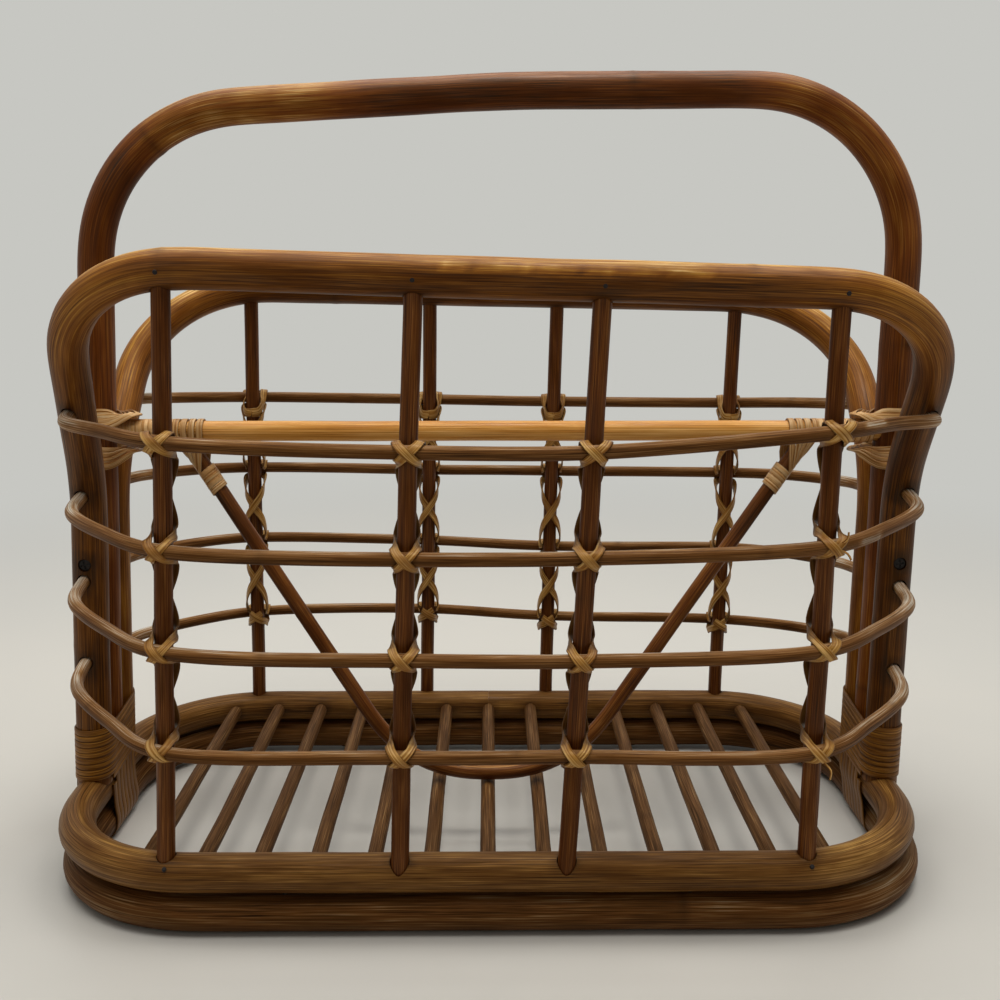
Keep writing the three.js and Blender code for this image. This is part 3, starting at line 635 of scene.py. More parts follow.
# Skin-on or peeled rattan: long vessels under a thin varnish. To the eye: fine dark streaks
# that run with the stick, broader light and dark runs, and a ring where each leaf grew.
def rattanFinish(name, look):
    material, tree = newMaterial(name)
    grain, knot, tone = (
        addNode(tree, "Attribute", {"attribute_name": layer}) for layer in ("grain", "knot", "tone"))
    fine, broad, patch, pore = (
        streaks(tree, grain, (long, wide, wide), {"Detail": detail, "Roughness": 0.55, "Distortion": 0.35})
        for long, wide, detail in (
            (look["fibreLength"], look["fibreWidth"], 2), (look["bandLength"], look["bandWidth"], 3),
            (42, 9, 4), (40, 0.45, 2),
        ))
    run = addNode(tree, "Math", {"operation": "MULTIPLY", 1: look["fineShare"]}, {0: fine})
    run = addNode(tree, "Math", {"operation": "MULTIPLY_ADD", 1: 1 - look["fineShare"]},
                  {0: broad, 2: run})
    spread = addNode(tree, "MapRange", {
        "From Min": look["deepest"], "From Max": look["palest"], "To Max": 0.82}, {"Value": run})
    # a positive tone lifts the colour: amber, and also painted light and a painted highlight
    lifted = addNode(tree, "Math", {"operation": "MULTIPLY_ADD", 1: 0.55},
                     {0: tone.outputs["Fac"], 2: spread})
    stops = list(zip((0.0, 0.25, 0.5, 0.76, 1.0), look["shades"]))
    shade = addNode(tree, "ValToRGB", {"stops": stops}, {"Fac": lifted}).outputs[0]
    shares = (  # smoked patches, open pores, knots, and dark places in the tone: stains, and painted shade
        addNode(tree, "MapRange", {
            "From Min": 0.45, "From Max": 0.66, "To Max": look["patchShare"]}, {"Value": patch}),
        addNode(tree, "MapRange", {
            "From Min": 0.58, "From Max": 0.68, "To Max": look["poreShare"]}, {"Value": pore}),
        addNode(tree, "Math", {"operation": "MULTIPLY", 1: look["knotShare"]}, {0: knot.outputs["Fac"]}),
        addNode(tree, "MapRange", {"From Max": -1, "To Max": 0.9}, {"Value": tone.outputs["Fac"]}),
    )
    vein = look["shades"][0]
    for share, colour in zip(shares, (look["patch"], vein, vein, "#1d0d04")):
        shade = addNode(tree, "Mix", {"data_type": "RGBA", 7: colour}, {0: share, 6: shade}).outputs[2]
    rough = addNode(tree, "MapRange", {
        "To Min": look["roughness"] + 0.16, "To Max": look["roughness"] - 0.06}, {"Value": spread})
    varnish = addNode(tree, "MapRange", {
        "From Min": 0.4, "From Max": 0.62, "To Min": look["varnish"], "To Max": look["varnish"] * 0.15,
    }, {"Value": patch})
    bump = addNode(tree, "Bump", {"Strength": look["bump"], "Distance": 0.2 * mm}, {"Height": run})
    shader = addNode(tree, "BsdfPrincipled", {
        "IOR": 1.45, "Specular IOR Level": look["gloss"], "Specular Tint": "#ffd08a",
        "Coat Roughness": look["varnishRoughness"],
    }, {"Base Color": shade, "Roughness": rough, "Normal": bump, "Coat Weight": varnish})
    addNode(tree, "OutputMaterial", {}, {"Surface": shader})
    return material


# sizes in mm; the shades go from the darkest veins to gold
poleLook = {
    "fibreLength": 36, "fibreWidth": 0.6, "bandLength": 60, "bandWidth": 6, "fineShare": 0.68,
    "poreShare": 0.6, "patchShare": 0.6, "knotShare": 0.5, "roughness": 0.46, "bump": 0.55, "gloss": 0.3,
    "varnish": 0.14, "varnishRoughness": 0.14, "palest": 0.68, "deepest": 0.35,
}
stickLook = {**poleLook, "fibreWidth": 0.4, "bandWidth": 4}
coreLook = {**stickLook, "bandWidth": 3}
looks = {
    # bent poles with the skin on, smoked and varnished: red-brown with amber runs
    "smoked_rattan": rattanFinish("smokedRattanPole", {
        **poleLook, "knotShare": 0.8, "palest": 0.73, "deepest": 0.31, "patch": "#4d1e05",
        "shades": ["#220b02", "#5a2a08", "#773f0e", "#986425", "#cfa765"]}),
    # the upper base hoop is the same pole, more worn: greyer brown and amber
    "worn_rattan": rattanFinish("wornRattanPole", {
        **poleLook, "varnish": 0.08, "patch": "#4d2c0f",
        "shades": ["#281406", "#5a3816", "#744e22", "#936b36", "#c39753"]}),
    # the rim hoops were less smoked: tan where they are bent, long brown runs
    "pale_rattan": rattanFinish("paleRattanPole", {
        **poleLook, "palest": 0.73, "deepest": 0.31, "patch": "#562806",
        "shades": ["#2c1204", "#683a0c", "#8b5518", "#b07e2e", "#ecc884"]}),
    # the hoop on the floor is dusty and worn: greyer, with hardly any gloss
    "dusty_rattan": rattanFinish("dustyRattanPole", {
        **poleLook, "roughness": 0.55, "varnish": 0.03, "gloss": 0.2, "knotShare": 0.9, "patch": "#4b2f15",
        "shades": ["#1c0e04", "#4c2c10", "#65401e", "#80623e", "#a19079"]}),
    # staves are thin sticks, the darkest of all, with red-brown veins
    "dark_stick": rattanFinish("darkRattanStick", {
        **stickLook, "patch": "#411a05",
        "shades": ["#1e0a02", "#4f250a", "#683912", "#855322", "#b5834a"]}),
    # rails are peeled core: dull, olive brown, with long open fibres and dusty ends
    "rail_stick": rattanFinish("peeledRattanRail", {
        **coreLook, "roughness": 0.5, "varnish": 0.06, "patch": "#5a3514",
        "shades": ["#2c1506", "#613a18", "#7c532b", "#a0784c", "#d2c8b6"]}),
    # floor slats are the same core with dust in the fibres
    "slat_stick": rattanFinish("dustyRattanSlat", {
        **coreLook, "roughness": 0.55, "varnish": 0.03, "fibreLength": 30, "patch": "#452910",
        "shades": ["#1e0f05", "#472b13", "#634223", "#88673f", "#bda37f"]}),
    # the divider's bar: skin-on, hardly smoked and well varnished, so it shines like honey
    "golden_bar": rattanFinish("honeyRattanBar", {
        **stickLook, "roughness": 0.36, "gloss": 0.45, "varnish": 0.3, "poreShare": 0.35, "fibreLength": 80,
        "patchShare": 0.3, "patch": "#c48638",
        "shades": ["#93571a", "#c58334", "#dea355", "#f0c27c", "#fadca4"]}),
}


# Binding cane: the split skin of thin rattan. To the eye: flat tan ribbons with a waxy gloss,
# fine lines along them and darker edges, with painted shade where the turns meet.
def caneFinish(name, look):
    material, tree = newMaterial(name)
    grain, edge, hidden = (
        addNode(tree, "Attribute", {"attribute_name": layer}) for layer in ("grain", "edge", "hidden"))
    lines = streaks(tree, grain, (40, 0.7, 3), {"Detail": 2})
    wear = streaks(tree, grain, (26, 9, 9), {"Detail": 3})
    spread = addNode(tree, "MapRange", {"From Min": 0.34, "From Max": 0.66}, {"Value": lines})
    shade = addNode(tree, "ValToRGB", {"stops": [
        (0.0, look["vein"]), (0.4, look["body"]), (1.0, look["light"]),
    ]}, {"Fac": spread}).outputs[0]
    # worn patches, painted shade at the edges, and painted shade where the cane lies hidden
    shares = (
        addNode(tree, "MapRange", {
            "From Min": 0.42, "From Max": 0.62, "To Max": 0.65}, {"Value": wear}),
        addNode(tree, "Math", {"operation": "MULTIPLY", 1: 0.75}, {0: edge.outputs["Fac"]}),
        hidden.outputs["Fac"],
    )
    for share, key in zip(shares, ("worn", "edgeShade", "hidden")):
        shade = addNode(tree, "Mix", {"data_type": "RGBA", 7: look[key]}, {0: share, 6: shade}).outputs[2]
    bump = addNode(tree, "Bump", {"Strength": 0.35, "Distance": 0.15 * mm}, {"Height": lines})
    shader = addNode(tree, "BsdfPrincipled", {
        "IOR": 1.45, "Specular IOR Level": 0.35, "Specular Tint": "#ffd9a0", "Roughness": look["roughness"],
        "Coat Weight": 0.1, "Coat Roughness": 0.25,
    }, {"Base Color": shade, "Normal": bump})
    addNode(tree, "OutputMaterial", {}, {"Surface": shader})
    return material


# the lacing kept its golden colour
laceCane = caneFinish("goldenBindingCane", {
    "vein": "#7c4a14", "body": "#c08a3c", "light": "#f6cb80", "worn": "#98622a", "edgeShade": "#452509",
    "hidden": "#4a2a0c", "roughness": 0.4})
# the foot windings went as brown as the legs
brownCane = caneFinish("brownBindingCane", {
    "vein": "#4c2704", "body": "#8b5617", "light": "#ba8233", "worn": "#6f420f", "edgeShade": "#2a1404",
    "hidden": "#4a2a0c", "roughness": 0.5})
# the bar's windings are pinkish tan
barCane = caneFinish("pinkBindingCane", {
    "vein": "#8e5820", "body": "#e8b471", "light": "#ffe2b0", "worn": "#ca965a", "edgeShade": "#5c3511",
    "hidden": "#6d451c", "roughness": 0.42})

# Steel screws and nails gone dark. To the eye: nearly black, a little browner where they rust
darkSteel, tree = newMaterial("darkenedSteel")
coordinates = addNode(tree, "TexCoord")
rust = addNode(tree, "TexNoise", {"Scale": 900, "Detail": 3}, {"Vector": coordinates.outputs["Object"]})
colours = addNode(tree, "ValToRGB", {"stops": [
    (0.35, "#0e0a08"), (0.55, "#1c1612"), (0.75, "#331e12")]}, {"Fac": rust})
rough = addNode(tree, "MapRange", {"To Min": 0.35, "To Max": 0.75}, {"Value": rust})
shader = addNode(tree, "BsdfPrincipled", {"Metallic": 0.55}, {"Base Color": colours, "Roughness": rough})
addNode(tree, "OutputMaterial", {}, {"Surface": shader})
looks["dull_steel"] = darkSteel
print("materials made")


# poles and sticks

sideNames = {-1: "front", 1: "back"}
endNames = {-1: "left", 1: "right"}
# mm: room round a stick in its socket; the drill's length, and its middle from the stick's tip
bore = {
    "fit": 0.5, "length": 14, "middle": 6, "slatLength": 9, "slatMiddle": 2,
    "railFit": 0.6, "railMiddle": 8.5, "railLift": 0.3,
}


def socketHole(tip, way, stick, inward=1):
    return tip + way * inward * bore["middle"], way, stick + 2 * bore["fit"], bore["length"]


upperRing = bentStick("upperRing", ringLine(base["length"], 0, deck), base["pole"], seed=11,
                      knots=[250, 930], eased=False)
lowerLine = ringLine(base["length"] + base["lowerExtra"], base["lowerShift"], base["lowerHeight"],
                     base["lowerBackRise"])
lowerRing = bentStick("lowerRing", lowerLine, base["pole"], seed=12, knots=[235, 505, 880], eased=False)
lowest = min(vertex.co.z for vertex in lowerRing.data.vertices)
lowerRing.data.transform(Matrix.Translation((0, 0, -lowest)))  # it just touches the floor
handle = bentStick("handleHoop", handleRun, upright["pole"], seed=13, knots=[140, 355, 610, 850, 1040])
hoops = {
    side: bentStick(f"{sideNames[side]}Hoop", hoopRuns[side], upright["pole"], seed=14 + side)
    for side in (-1, 1)
}

slatFeet, staveFeet, ringHoles = [], [], []
for index in range(slat["count"]):
    for end, hand in zip(slatLine(index), (-1, 1)):
        way = Vector((0, hand, 0))
        middle = end - way * bore["slatMiddle"]
        ringHoles.append((middle, way, slat["stick"] + 2 * bore["fit"], bore["slatLength"]))
        slatFeet.append(end - way * stave["socket"])
for side in (-1, 1):
    for index in range(4):
        line = staveLine(side, index)
        way = (line[1] - line[0]).normalized()
        ringHoles.append(socketHole(line[0], way, stave["stick"]))
        staveFeet.append(line[0] + way * stave["socket"])
drill(upperRing, ringHoles)
# dirt and painted shade round the feet of the slats and the staves
shiftTone(upperRing, slatFeet, reach=9, depth=-0.55)
shiftTone(upperRing, staveFeet, reach=10, depth=-0.6)
# amber at the front bends, most at the right
shiftTone(upperRing, [Vector((end * 175, -105, 36)) for end in (1, -1)], reach=42, depth=0.3)
shiftTone(upperRing, [Vector((170, -101, 33)), Vector((186, -90, 33))], reach=26, depth=0.6)
# painted light on the hoop's top, painted shade below
paintLightAndShade(upperRing, 0.12)
lowerBend = [Vector((x, y, 12)) for x, y in ((214, -40), (208, -70), (190, -95))]
shiftTone(lowerRing, lowerBend, reach=48, depth=0.6)
# painted light on the hoop's top, painted shade below
paintLightAndShade(lowerRing, 0.15)
finishPiece(upperRing, ["upper_ring"], "smoked_rattan", looks["worn_rattan"])
finishPiece(lowerRing, ["lower_ring"], "dusty_rattan")

barRun = barLine()
drill(handle, [
    socketHole(tip, Vector((1, 0, 0)), bar["stick"], inward) for tip, inward in zip(barRun, (1, -1))
])
# amber where it is bent, darker below the left bend, along the grip and down the right leg
leftBend = [leaned(x, -3, z) for x, z in ((-105, 396.46), (-130, 393.16), (-150, 388.36), (-168, 382.3984))]
rightBend = [leaned(x, -3, z) for x, z in ((150, 404), (180, 389), (200, 364), (209, 335))]
shiftTone(handle, leftBend, reach=40, depth=0.9)
shiftTone(handle, [leaned(-190, -5, 362)], reach=30, depth=-0.25)
shiftTone(handle, [leaned(x, 0, 402) for x in range(-40, 121, 20)], reach=60, depth=-0.2)
shiftTone(handle, [leaned(218, 0, z) for z in range(190, 311, 30)], reach=45, depth=-0.22)
shiftTone(handle, rightBend, reach=36, depth=0.6)
# painted light on the top of the grip, painted shade below
paintLightAndShade(handle, 0.3, above=300)
finishPiece(handle, ["handle_hoop"], "smoked_rattan")

# slotted screws join the three legs, their heads sunk in drilled holes
screw = {
    "height": 160, "sides": 20, "shank": 3.6, "head": 6.4, "headHeight": 1.4, "length": 25.6, "point": 4,
    "tip": 0.15, "round": 0.4, "roundSteps": 3, "slot": 1.0, "slotDeep": 1.4, "slotLength": 4.48,
    "sink": 1.2, "hole": 6.9, "holeLength": 6,
}
for side in (-1, 1):
    holes, marks = [], []
    for end in (-1, 1):
        spot = legAt(hoopRuns[side], end, screw["height"])
        deep = poleRadius - screw["sink"] - screw["headHeight"] + screw["holeLength"] / 2
        middle = spot + Vector((0, side * deep, 0))
        holes.append((middle, Vector((0, 1, 0)), screw["hole"], screw["holeLength"]))
        marks.append(spot + Vector((0, side * poleRadius, 0)))
    for row in range(4):
        for end in (-1, 1):
            _, socket, out = railEnd(side, row, end)
            spot = socket + out * bore["railMiddle"] + Vector((0, 0, bore["railLift"]))
            holes.append((spot, out, rail["stick"] + 2 * bore["railFit"], bore["length"]))
            marks.append(socket + out * poleRadius)
    for index in range(4):
        line = staveLine(side, index)
        way = (line[-1] - line[-2]).normalized()
        holes.append(socketHole(line[-1], way, stave["stick"], -1))
        marks.append(line[-1] - way * stave["socket"])
    hoop = hoops[side]
    drill(hoop, holes)
    # dirt and painted shade round the screws and the sockets
    shiftTone(hoop, marks, reach=11, depth=-0.6)
    for end in (-1, 1):  # the bends stayed pale; darker low inside each foot, and down the front hoop's legs
        bend = [leaned(end * x, side * y, z) for x, y, z in ((190, 100, 292), (208, 92, 265))]
        shiftTone(hoop, bend, reach=60, depth=0.45)
        shiftTone(hoop, [leaned(end * 214, side * 19, 42)], reach=10, depth=-1.0)
        if side < 0:
            legSpots = [legAt(hoopRuns[side], end, z) for z in range(80, 280, 20)]
            shiftTone(hoop, legSpots, reach=45, depth=-0.45 - 0.1 * end)
    # painted light on the top of the rim, painted shade below
    paintLightAndShade(hoop, 0.7, above=240)
    if side < 0:  # a broken line of painted highlight along the top
        paleStreak = [leaned(x, -112, rimHeight(side, x) + 4.5) for x in range(-28, 92, 3) if x % 7 > 1]
        shiftTone(hoop, paleStreak, reach=3.2, depth=0.9)
    finishPiece(hoop, [f"{sideNames[side]}_hoop"], "pale_rattan")
print("hoops bent and drilled")

for index in range(slat["count"]):
    piece = bentStick(f"floorSlat{index + 1}", slatLine(index), slat["stick"], seed=40 + index,
                      sides=16, station=5, straight=0.5)
    finishPiece(piece, [f"floor_slat_{index + 1}"], "slat_stick")
for side in (-1, 1):
    for index in range(4):
        piece = bentStick(f"{sideNames[side]}Stave{index + 1}", staveLine(side, index), stave["stick"],
                          seed=60 + 4 * side + index, sides=16, station=5, straight=0.4)
        finishPiece(piece, [f"{sideNames[side]}_stave_{index + 1}"], "dark_stick")
    for row in range(4):
        line = railLine(side, row)
        piece = bentStick(f"{sideNames[side]}Rail{row + 1}", line, rail["stick"],
                          seed=80 + 4 * side + row, sides=16, straight=0.3)
        dusty = [spot for end in (-1, 1) for spot in railEnd(side, row, end)[0][1:3]]
        shiftTone(piece, dusty, reach=28, depth=0.8)
        # painted light on the rail's top, painted shade below
        paintLightAndShade(piece, 0.5)
        if side < 0 and row < 2:  # pale streaks on the right
            start = railAtStave(side, row, 3).x + 14
            lift = Vector(((0.8, -2.4, 2.0), (0.8, -3.1, -0.5))[row])
            paleStreak = [spot + lift for spot in evenly(line, 2) if start < spot.x < start + 11]
            shiftTone(piece, paleStreak, reach=2.8, depth=2.2)
        finishPiece(piece, [f"{sideNames[side]}_rail_{row + 1}"], "rail_stick")
dividerBar = bentStick("dividerBar", barRun, bar["stick"], seed=91, station=5, straight=0.2)
finishPiece(dividerBar, ["divider_bar"], "golden_bar")
veeRun = steamed(filleted(veeCorners(), [0, vee["corner"], vee["corner"], 0]))
dividerVee = bentStick("dividerVee", veeRun, vee["stick"], seed=92, sides=16)
paler = [spot for spot in veeRun[::3] if spot.z < 165]
shiftTone(dividerVee, paler, reach=18, depth=0.4)
# painted light on the rod's top, painted shade below
paintLightAndShade(dividerVee, 0.5)
finishPiece(dividerVee, ["divider_vee"], "dark_stick")
print("sticks made")


# fasteners

nail = {
    "sides": 16, "shank": 2.6, "head": 5, "headHeight": 1.2, "length": 32.5, "point": 3, "tip": 0.1,
    "round": 0.35, "roundSteps": 2, "across": 97.125, "lift": 1.0,
}
brad = {"sides": 12, "head": 2.2, "headHeight": 6, "proud": 0.25, "round": 0.25, "roundSteps": 2}


def addPin(name, sizes):  # its head looks up and ends at zero; without a shank it is a plain pin
    middle = (0, 0, -sizes["headHeight"] / 2 * mm)
    piece = addRod(name, sizes["sides"], sizes["head"], sizes["headHeight"], middle)
    settle(piece)
    bpy.ops.object.mode_set(mode="EDIT")
    if "shank" in sizes:
        pick(piece, "faces", lambda face: face.normal.z < -0.9)
        bpy.ops.mesh.inset(thickness=(sizes["head"] - sizes["shank"]) / 2 * mm)
        for part in (sizes["length"] - sizes["headHeight"] - sizes["point"], sizes["point"]):
            bpy.ops.mesh.extrude_region_move(TRANSFORM_OT_translate={"value": (0, 0, -part * mm)})
        bpy.ops.transform.resize(value=(sizes["tip"], sizes["tip"], 1))
    pick(piece, "edges", lambda edge: all(corner.co.z > -1e-7 for corner in edge.verts))
    bpy.ops.mesh.bevel(offset=sizes["round"] * mm, segments=sizes["roundSteps"])
    bpy.ops.object.mode_set(mode="OBJECT")
    return piece


def driveIn(source, name, at, out, turn):  # a copy whose head is at the place and looks out
    piece = source.copy()
    piece.data = source.data.copy()
    piece.name = piece.data.name = name
    bpy.context.collection.objects.link(piece)
    aim = out.to_track_quat("Z", "Y") @ Quaternion((0, 0, 1), turn)
    piece.data.transform(Matrix.Translation(placed(at)) @ aim.to_matrix().to_4x4())
    return piece


screwSource = addPin("screwSource", screw)
for turn in (0, math.pi / 2):  # a cross of two slots
    deselect()
    bpy.ops.mesh.primitive_cube_add(size=1, location=(0, 0, 0), rotation=(0, 0, turn), scale=[
        screw[key] * mm for key in ("slotLength", "slot", "slotDeep")])
    blade = bpy.context.object
    settle(blade)
    cutAway(screwSource, blade)
nailSource, bradSource = addPin("nailSource", nail), addPin("bradSource", brad)
for side in (-1, 1):
    for end in (-1, 1):
        hand = f"{sideNames[side]}_{endNames[end]}"
        leg = legAt(hoopRuns[side], end, screw["height"])
        head = leg + Vector((0, side * (poleRadius - screw["sink"]), 0))
        piece = driveIn(screwSource, f"legScrew_{hand}", head, Vector((0, side, 0)), 0.4 + side + end * 0.7)
        finishPiece(piece, [f"leg_screw_{hand}"], "dull_steel")
        foot = Vector((end * nail["across"], side * base["depth"] / 2, nail["lift"]))
        piece = driveIn(nailSource, f"baseNail_{hand}", foot, Vector((0, 0, -1)), end)
        finishPiece(piece, [f"base_nail_{hand}"], "dull_steel")
# small brads hold each stave and the top rails in their hoops
for side in (-1, 1):
    places = []
    for index in range(4):
        top, foot = stave["tops"][side][index], stave["feet"][side][index]
        topSpot = leaned(top, side * upright["mouthDepth"] / 2, rimHeight(side, top) + 0.5)
        footSpot = leaned(foot, side * base["depth"] / 2, deck)
        places += [(topSpot, Vector((0, side, -0.3)), "Top"), (footSpot, Vector((0.15, side, 0.8)), "Foot")]
    for end in (-1, 1):
        spot = legAt(hoopRuns[side], end, railHeight(side, 0, 0 if end < 0 else 5))
        places.append((spot, Vector((end, -side * 0.35, 0.1)), "Rail"))
    for number, (at, out, kind) in enumerate(places):
        out.normalize()
        head = at + out * (poleRadius + brad["proud"])
        piece = driveIn(bradSource, f"{sideNames[side]}{kind}Brad{number + 1}", head, out, number)
        finishPiece(piece, [], "dull_steel")
for source in (screwSource, nailSource, bradSource):
    bpy.data.objects.remove(source)
print("fasteners driven in")


# cane

lace = {
    "width": 4.4, "rise": 1.0, "gap": 0.7, "loose": (-0.3, 0.4), "looseOut": 6.6, "turn": 5.3, "shade": 0.85,
}


# One strand of a stave's lacing: it crosses the other over each rail and again inside the stave.
# It is darkened with painted shade behind the front wall, and hangs looser on the back wall.
def laceRun(side, index, hand, layer, chance):
    heights = [railAtStave(side, row, index).z for row in range(4)]
    rise = layer * lace["rise"]
    reach = rail["stick"] / 2 + lace["gap"]
    back = stave["stick"] / 2 + lace["gap"] + rise
    front, bulge = side < 0, lace["looseOut"]
    dim = lace["shade"] if front else 0.0
    stops = []

    def stop(z, along, out, face, hidden=0.0):  # height, and millimetres along the wall and outwards
        face = Vector((face[0] * hand, face[1] * side, face[2])).normalized()
        stops.append((staveAt(side, index, z) + Vector((along * hand, side * out, 0)), face, hidden))

    for row, z in enumerate(heights):
        off = abs(railAtStave(side, row, index).y - staveAt(side, index, z).y)
        loose = chance.uniform(*lace["loose"])
        wide = 1.0 if row == 0 else 0.9
        if row == 0 and front:
            stop(z - 6, 3.5, -back * 0.8, (0.6, -0.8, 0), dim)
            stop(z - 3, -3.5, -back * 0.9, (-0.6, -0.8, 0), dim)
        elif row == 0:  # a level turn under the top rail
            for k in range(7):
                angle = math.pi * (0.5 - k / 3)
                across, out = math.cos(angle), -math.sin(angle)
                stop(z - 8 - layer * 1.2, lace["turn"] * across, lace["turn"] * out, (across, out, 0))
            stop(z - 7.5 - layer, -4.0, -4.2, (-0.7, -0.7, 0))
            stop(z - 4, -5.8, -1.0, (-1, -0.1, 0.1))
        if row == 0 or not front:
            stop(z + 1.0, -5.5 * wide - loose, off - reach - 1.0, (-0.6, -0.6, 0.4), dim)
        stop(z + reach + 0.5, -5.5 * wide - loose, off - 1.4, (-0.2, -0.1, 1))
        stop(z + reach * 0.8, -4.1 * wide, off + reach * 0.68, (0, 0.65, 0.75))
        stop(z, -0.3, off + reach + rise, (0, 1, 0))
        stop(z - reach * 0.75, 2.8 * wide, off + reach * 0.8, (0, 0.75, -0.65))
        if front:  # the strand tucks in tight under the rail
            stop(z - reach - 0.6, 4.3 * wide + loose * 0.5, off - 1.2, (0.4, 0.5, -0.8), 0.1)
            stop(z - reach - 1.6, 5.3, 1.6, (0.9, 0.3, -0.3), 0.5)
            stop(z - reach - 3.4, 4.6, -back * 0.7, (0.6, -0.8, -0.1), dim)
        else:
            stop(z - reach - 0.8, 4.4 * wide + loose * 0.5, off - 1.2, (0.4, 0.3, -0.85))
            stop(z - reach - 2.2, bulge * wide, off - reach - 1.6, (0.8, 0.5, -0.3))
        if row < 3:
            low = heights[row + 1]
            middle = (z + low) / 2
            if front:
                stop(z - 14, 3.2, -back, (0.1, -1, 0), dim)
                stop(middle, 0, -back, (0, -1, 0), dim)
                stop(low + 13, -3.4, -back * 0.95, (-0.2, -1, 0), dim)
                stop(low + 7.4, -4.9, -back * 0.6, (-0.7, -0.7, 0.1), dim)
                stop(low + 5.2, -5.5, 1.0, (-0.9, 0.1, 0.4), 0.5)
            else:
                stop(z - (z - middle) * 0.66, 4.8, -back * 0.7, (0.85, -0.5, 0))
                stop(middle, 0, -back, (0, -1, 0))
                stop(low + (middle - low) * 0.66, -4.8, -back * 0.7, (-0.85, -0.5, 0))
                stop(low + (middle - low) * 0.3, -bulge, -1.0, (-1, -0.1, 0.1))
        elif front:
            stop(z - reach - 7.5, 0, -back, (0, -1, 0), dim)
        else:  # tied off across the inside of the stave
            stop(z - 4, 5.2, -1.0, (1, -0.1, 0))
            stop(z - 2.5, 3.6, -back * 0.8, (0.6, -0.8, 0))
            stop(z, 0, -back - 0.4, (0, -1, 0))
            stop(z + 2.5, -3.6, -back * 0.8, (-0.6, -0.8, 0))
    return stops


for side in (-1, 1):
    for index in range(4):
        chance = random.Random(300 + side * 10 + index)
        piece = joined([
            layCane("lace", laceRun(side, index, hand, layer, chance), lace["width"], seed + index)
            for hand, layer, seed in ((-1, 0, 301), (1, 1, 311))
        ])
        piece.name = piece.data.name = f"{sideNames[side]}Lacing{index + 1}"
        finishPiece(piece, [f"{sideNames[side]}_lacing_{index + 1}"], "flat_cane", laceCane)
print("walls laced")

caneLift = 0.6  # mm, from what it goes round to the middle of the cane
caneRound = poleRadius + caneLift
footWind = {
    "width": 3.2, "pitch": 3.25, "turns": 9.5, "start": 37.4, "fan": 5, "lowFanShare": 0.7, "perTurn": 20,
}


def footRun(end):  # round the three legs, which stand in a row
    stops = []
    straight, arc = 2 * upright["legSpacing"], math.pi * caneRound
    for k in range(int(footWind["turns"] * footWind["perTurn"]) + 1):
        turn = k / footWind["perTurn"]
        travel = (turn % 1) * 2 * (straight + arc)
        hand = -1 if travel < straight + arc else 1  # out along one side, back along the other
        if hand > 0:
            travel -= straight + arc
        angle = max(0, travel - straight) / caneRound
        y = -hand * (min(travel, straight) - straight / 2 + caneRound * math.sin(angle))
        face = Vector((hand * end * math.cos(angle), -hand * math.sin(angle), 0))
        share = turn / footWind["turns"]
        back = (y + straight / 2 + caneRound) / (straight + 2 * caneRound)
        climb = footWind["lowFanShare"] + (1 - footWind["lowFanShare"]) * share
        z = footWind["start"] + footWind["pitch"] * turn + footWind["fan"] * back ** 1.5 * climb
        stops.append((leaned(end * legSpread(z), 0, z) + Vector((face.x * caneRound, y, 0)), face))
    return stops


# the lashing ties both base hoops to the legs; it passes under the lower hoop, sunk a little into it
lash = {
    "width": 5.2, "pitch": 5.5, "passes": 7, "height": 12,
    "lowest": 0.8,  # middle of the strand under the lower hoop
}


def lashRun(end):
    around = base["pole"] / 2 + caneLift
    top = deck + base["pole"] / 2 + lash["height"]
    upperX, upperZ, lowerZ = end * base["length"] / 2, deck, base["lowerHeight"]
    lowerX = end * (base["length"] + base["lowerExtra"]) / 2 + base["lowerShift"]
    stops = []
    for number in range(lash["passes"]):
        y = (number - (lash["passes"] - 1) / 2) * lash["pitch"]
        hand = 1 if number % 2 == 0 else -1
        for half in (-1, 1):  # down one side of both hoops, and up the other
            out = end * hand * half
            wayDown = [
                (Vector((x, y, max(lash["lowest"], z))), Vector(face).normalized()) for x, z, face in (
                    (upperX + out * around, upperZ + 3, (out, 0, 0)),
                    (upperX + out * around, upperZ - 2, (out, 0, 0)),
                    ((upperX + lowerX) / 2 + out * (around - 0.3), upperZ - 10, (out, 0, 0)),
                    (lowerX + out * around, lowerZ + 1, (out, 0, 0)),
                    (lowerX + out * around * 0.85, lowerZ - around * 0.5, (out * 0.8, 0, -0.6)),
                    (lowerX + out * around * 0.5, lash["lowest"] + 0.4, (out * 0.4, 0, -0.9)),
                )
            ]
            stops += wayDown if half < 0 else wayDown[::-1]
        if number < lash["passes"] - 1:  # across the leg to the next pass
            for step in range(4):
                angle = step * math.pi / 3
                z = top + lash["pitch"] * math.sin(angle) / 2
                face = Vector((end * hand, 0, 0))
                at = leaned(end * legSpread(z), y + lash["pitch"] * (1 - math.cos(angle)) / 2, z)
                stops.append((at + face * upright["pole"] / 2, face))
    return stops


# the strand loops round the leg above and below the bar, and then runs on along the bar
barWind = {
    "width": 3.7, "pitch": 3.5, "turns": 9, "perTurn": 12, "loops": 4, "lie": 0.65, "fromLeg": 2.2,
    # where the lowest loop lies on the leg's outside and inside, and how far each next one moves
    "outer": {1: (12, -3.1), -1: (-7.5, -3.4)}, "crest": {1: (11, -2.3), -1: (-9.5, -2.7)},
    "standOff": {1: 0, -1: 1.5},
}


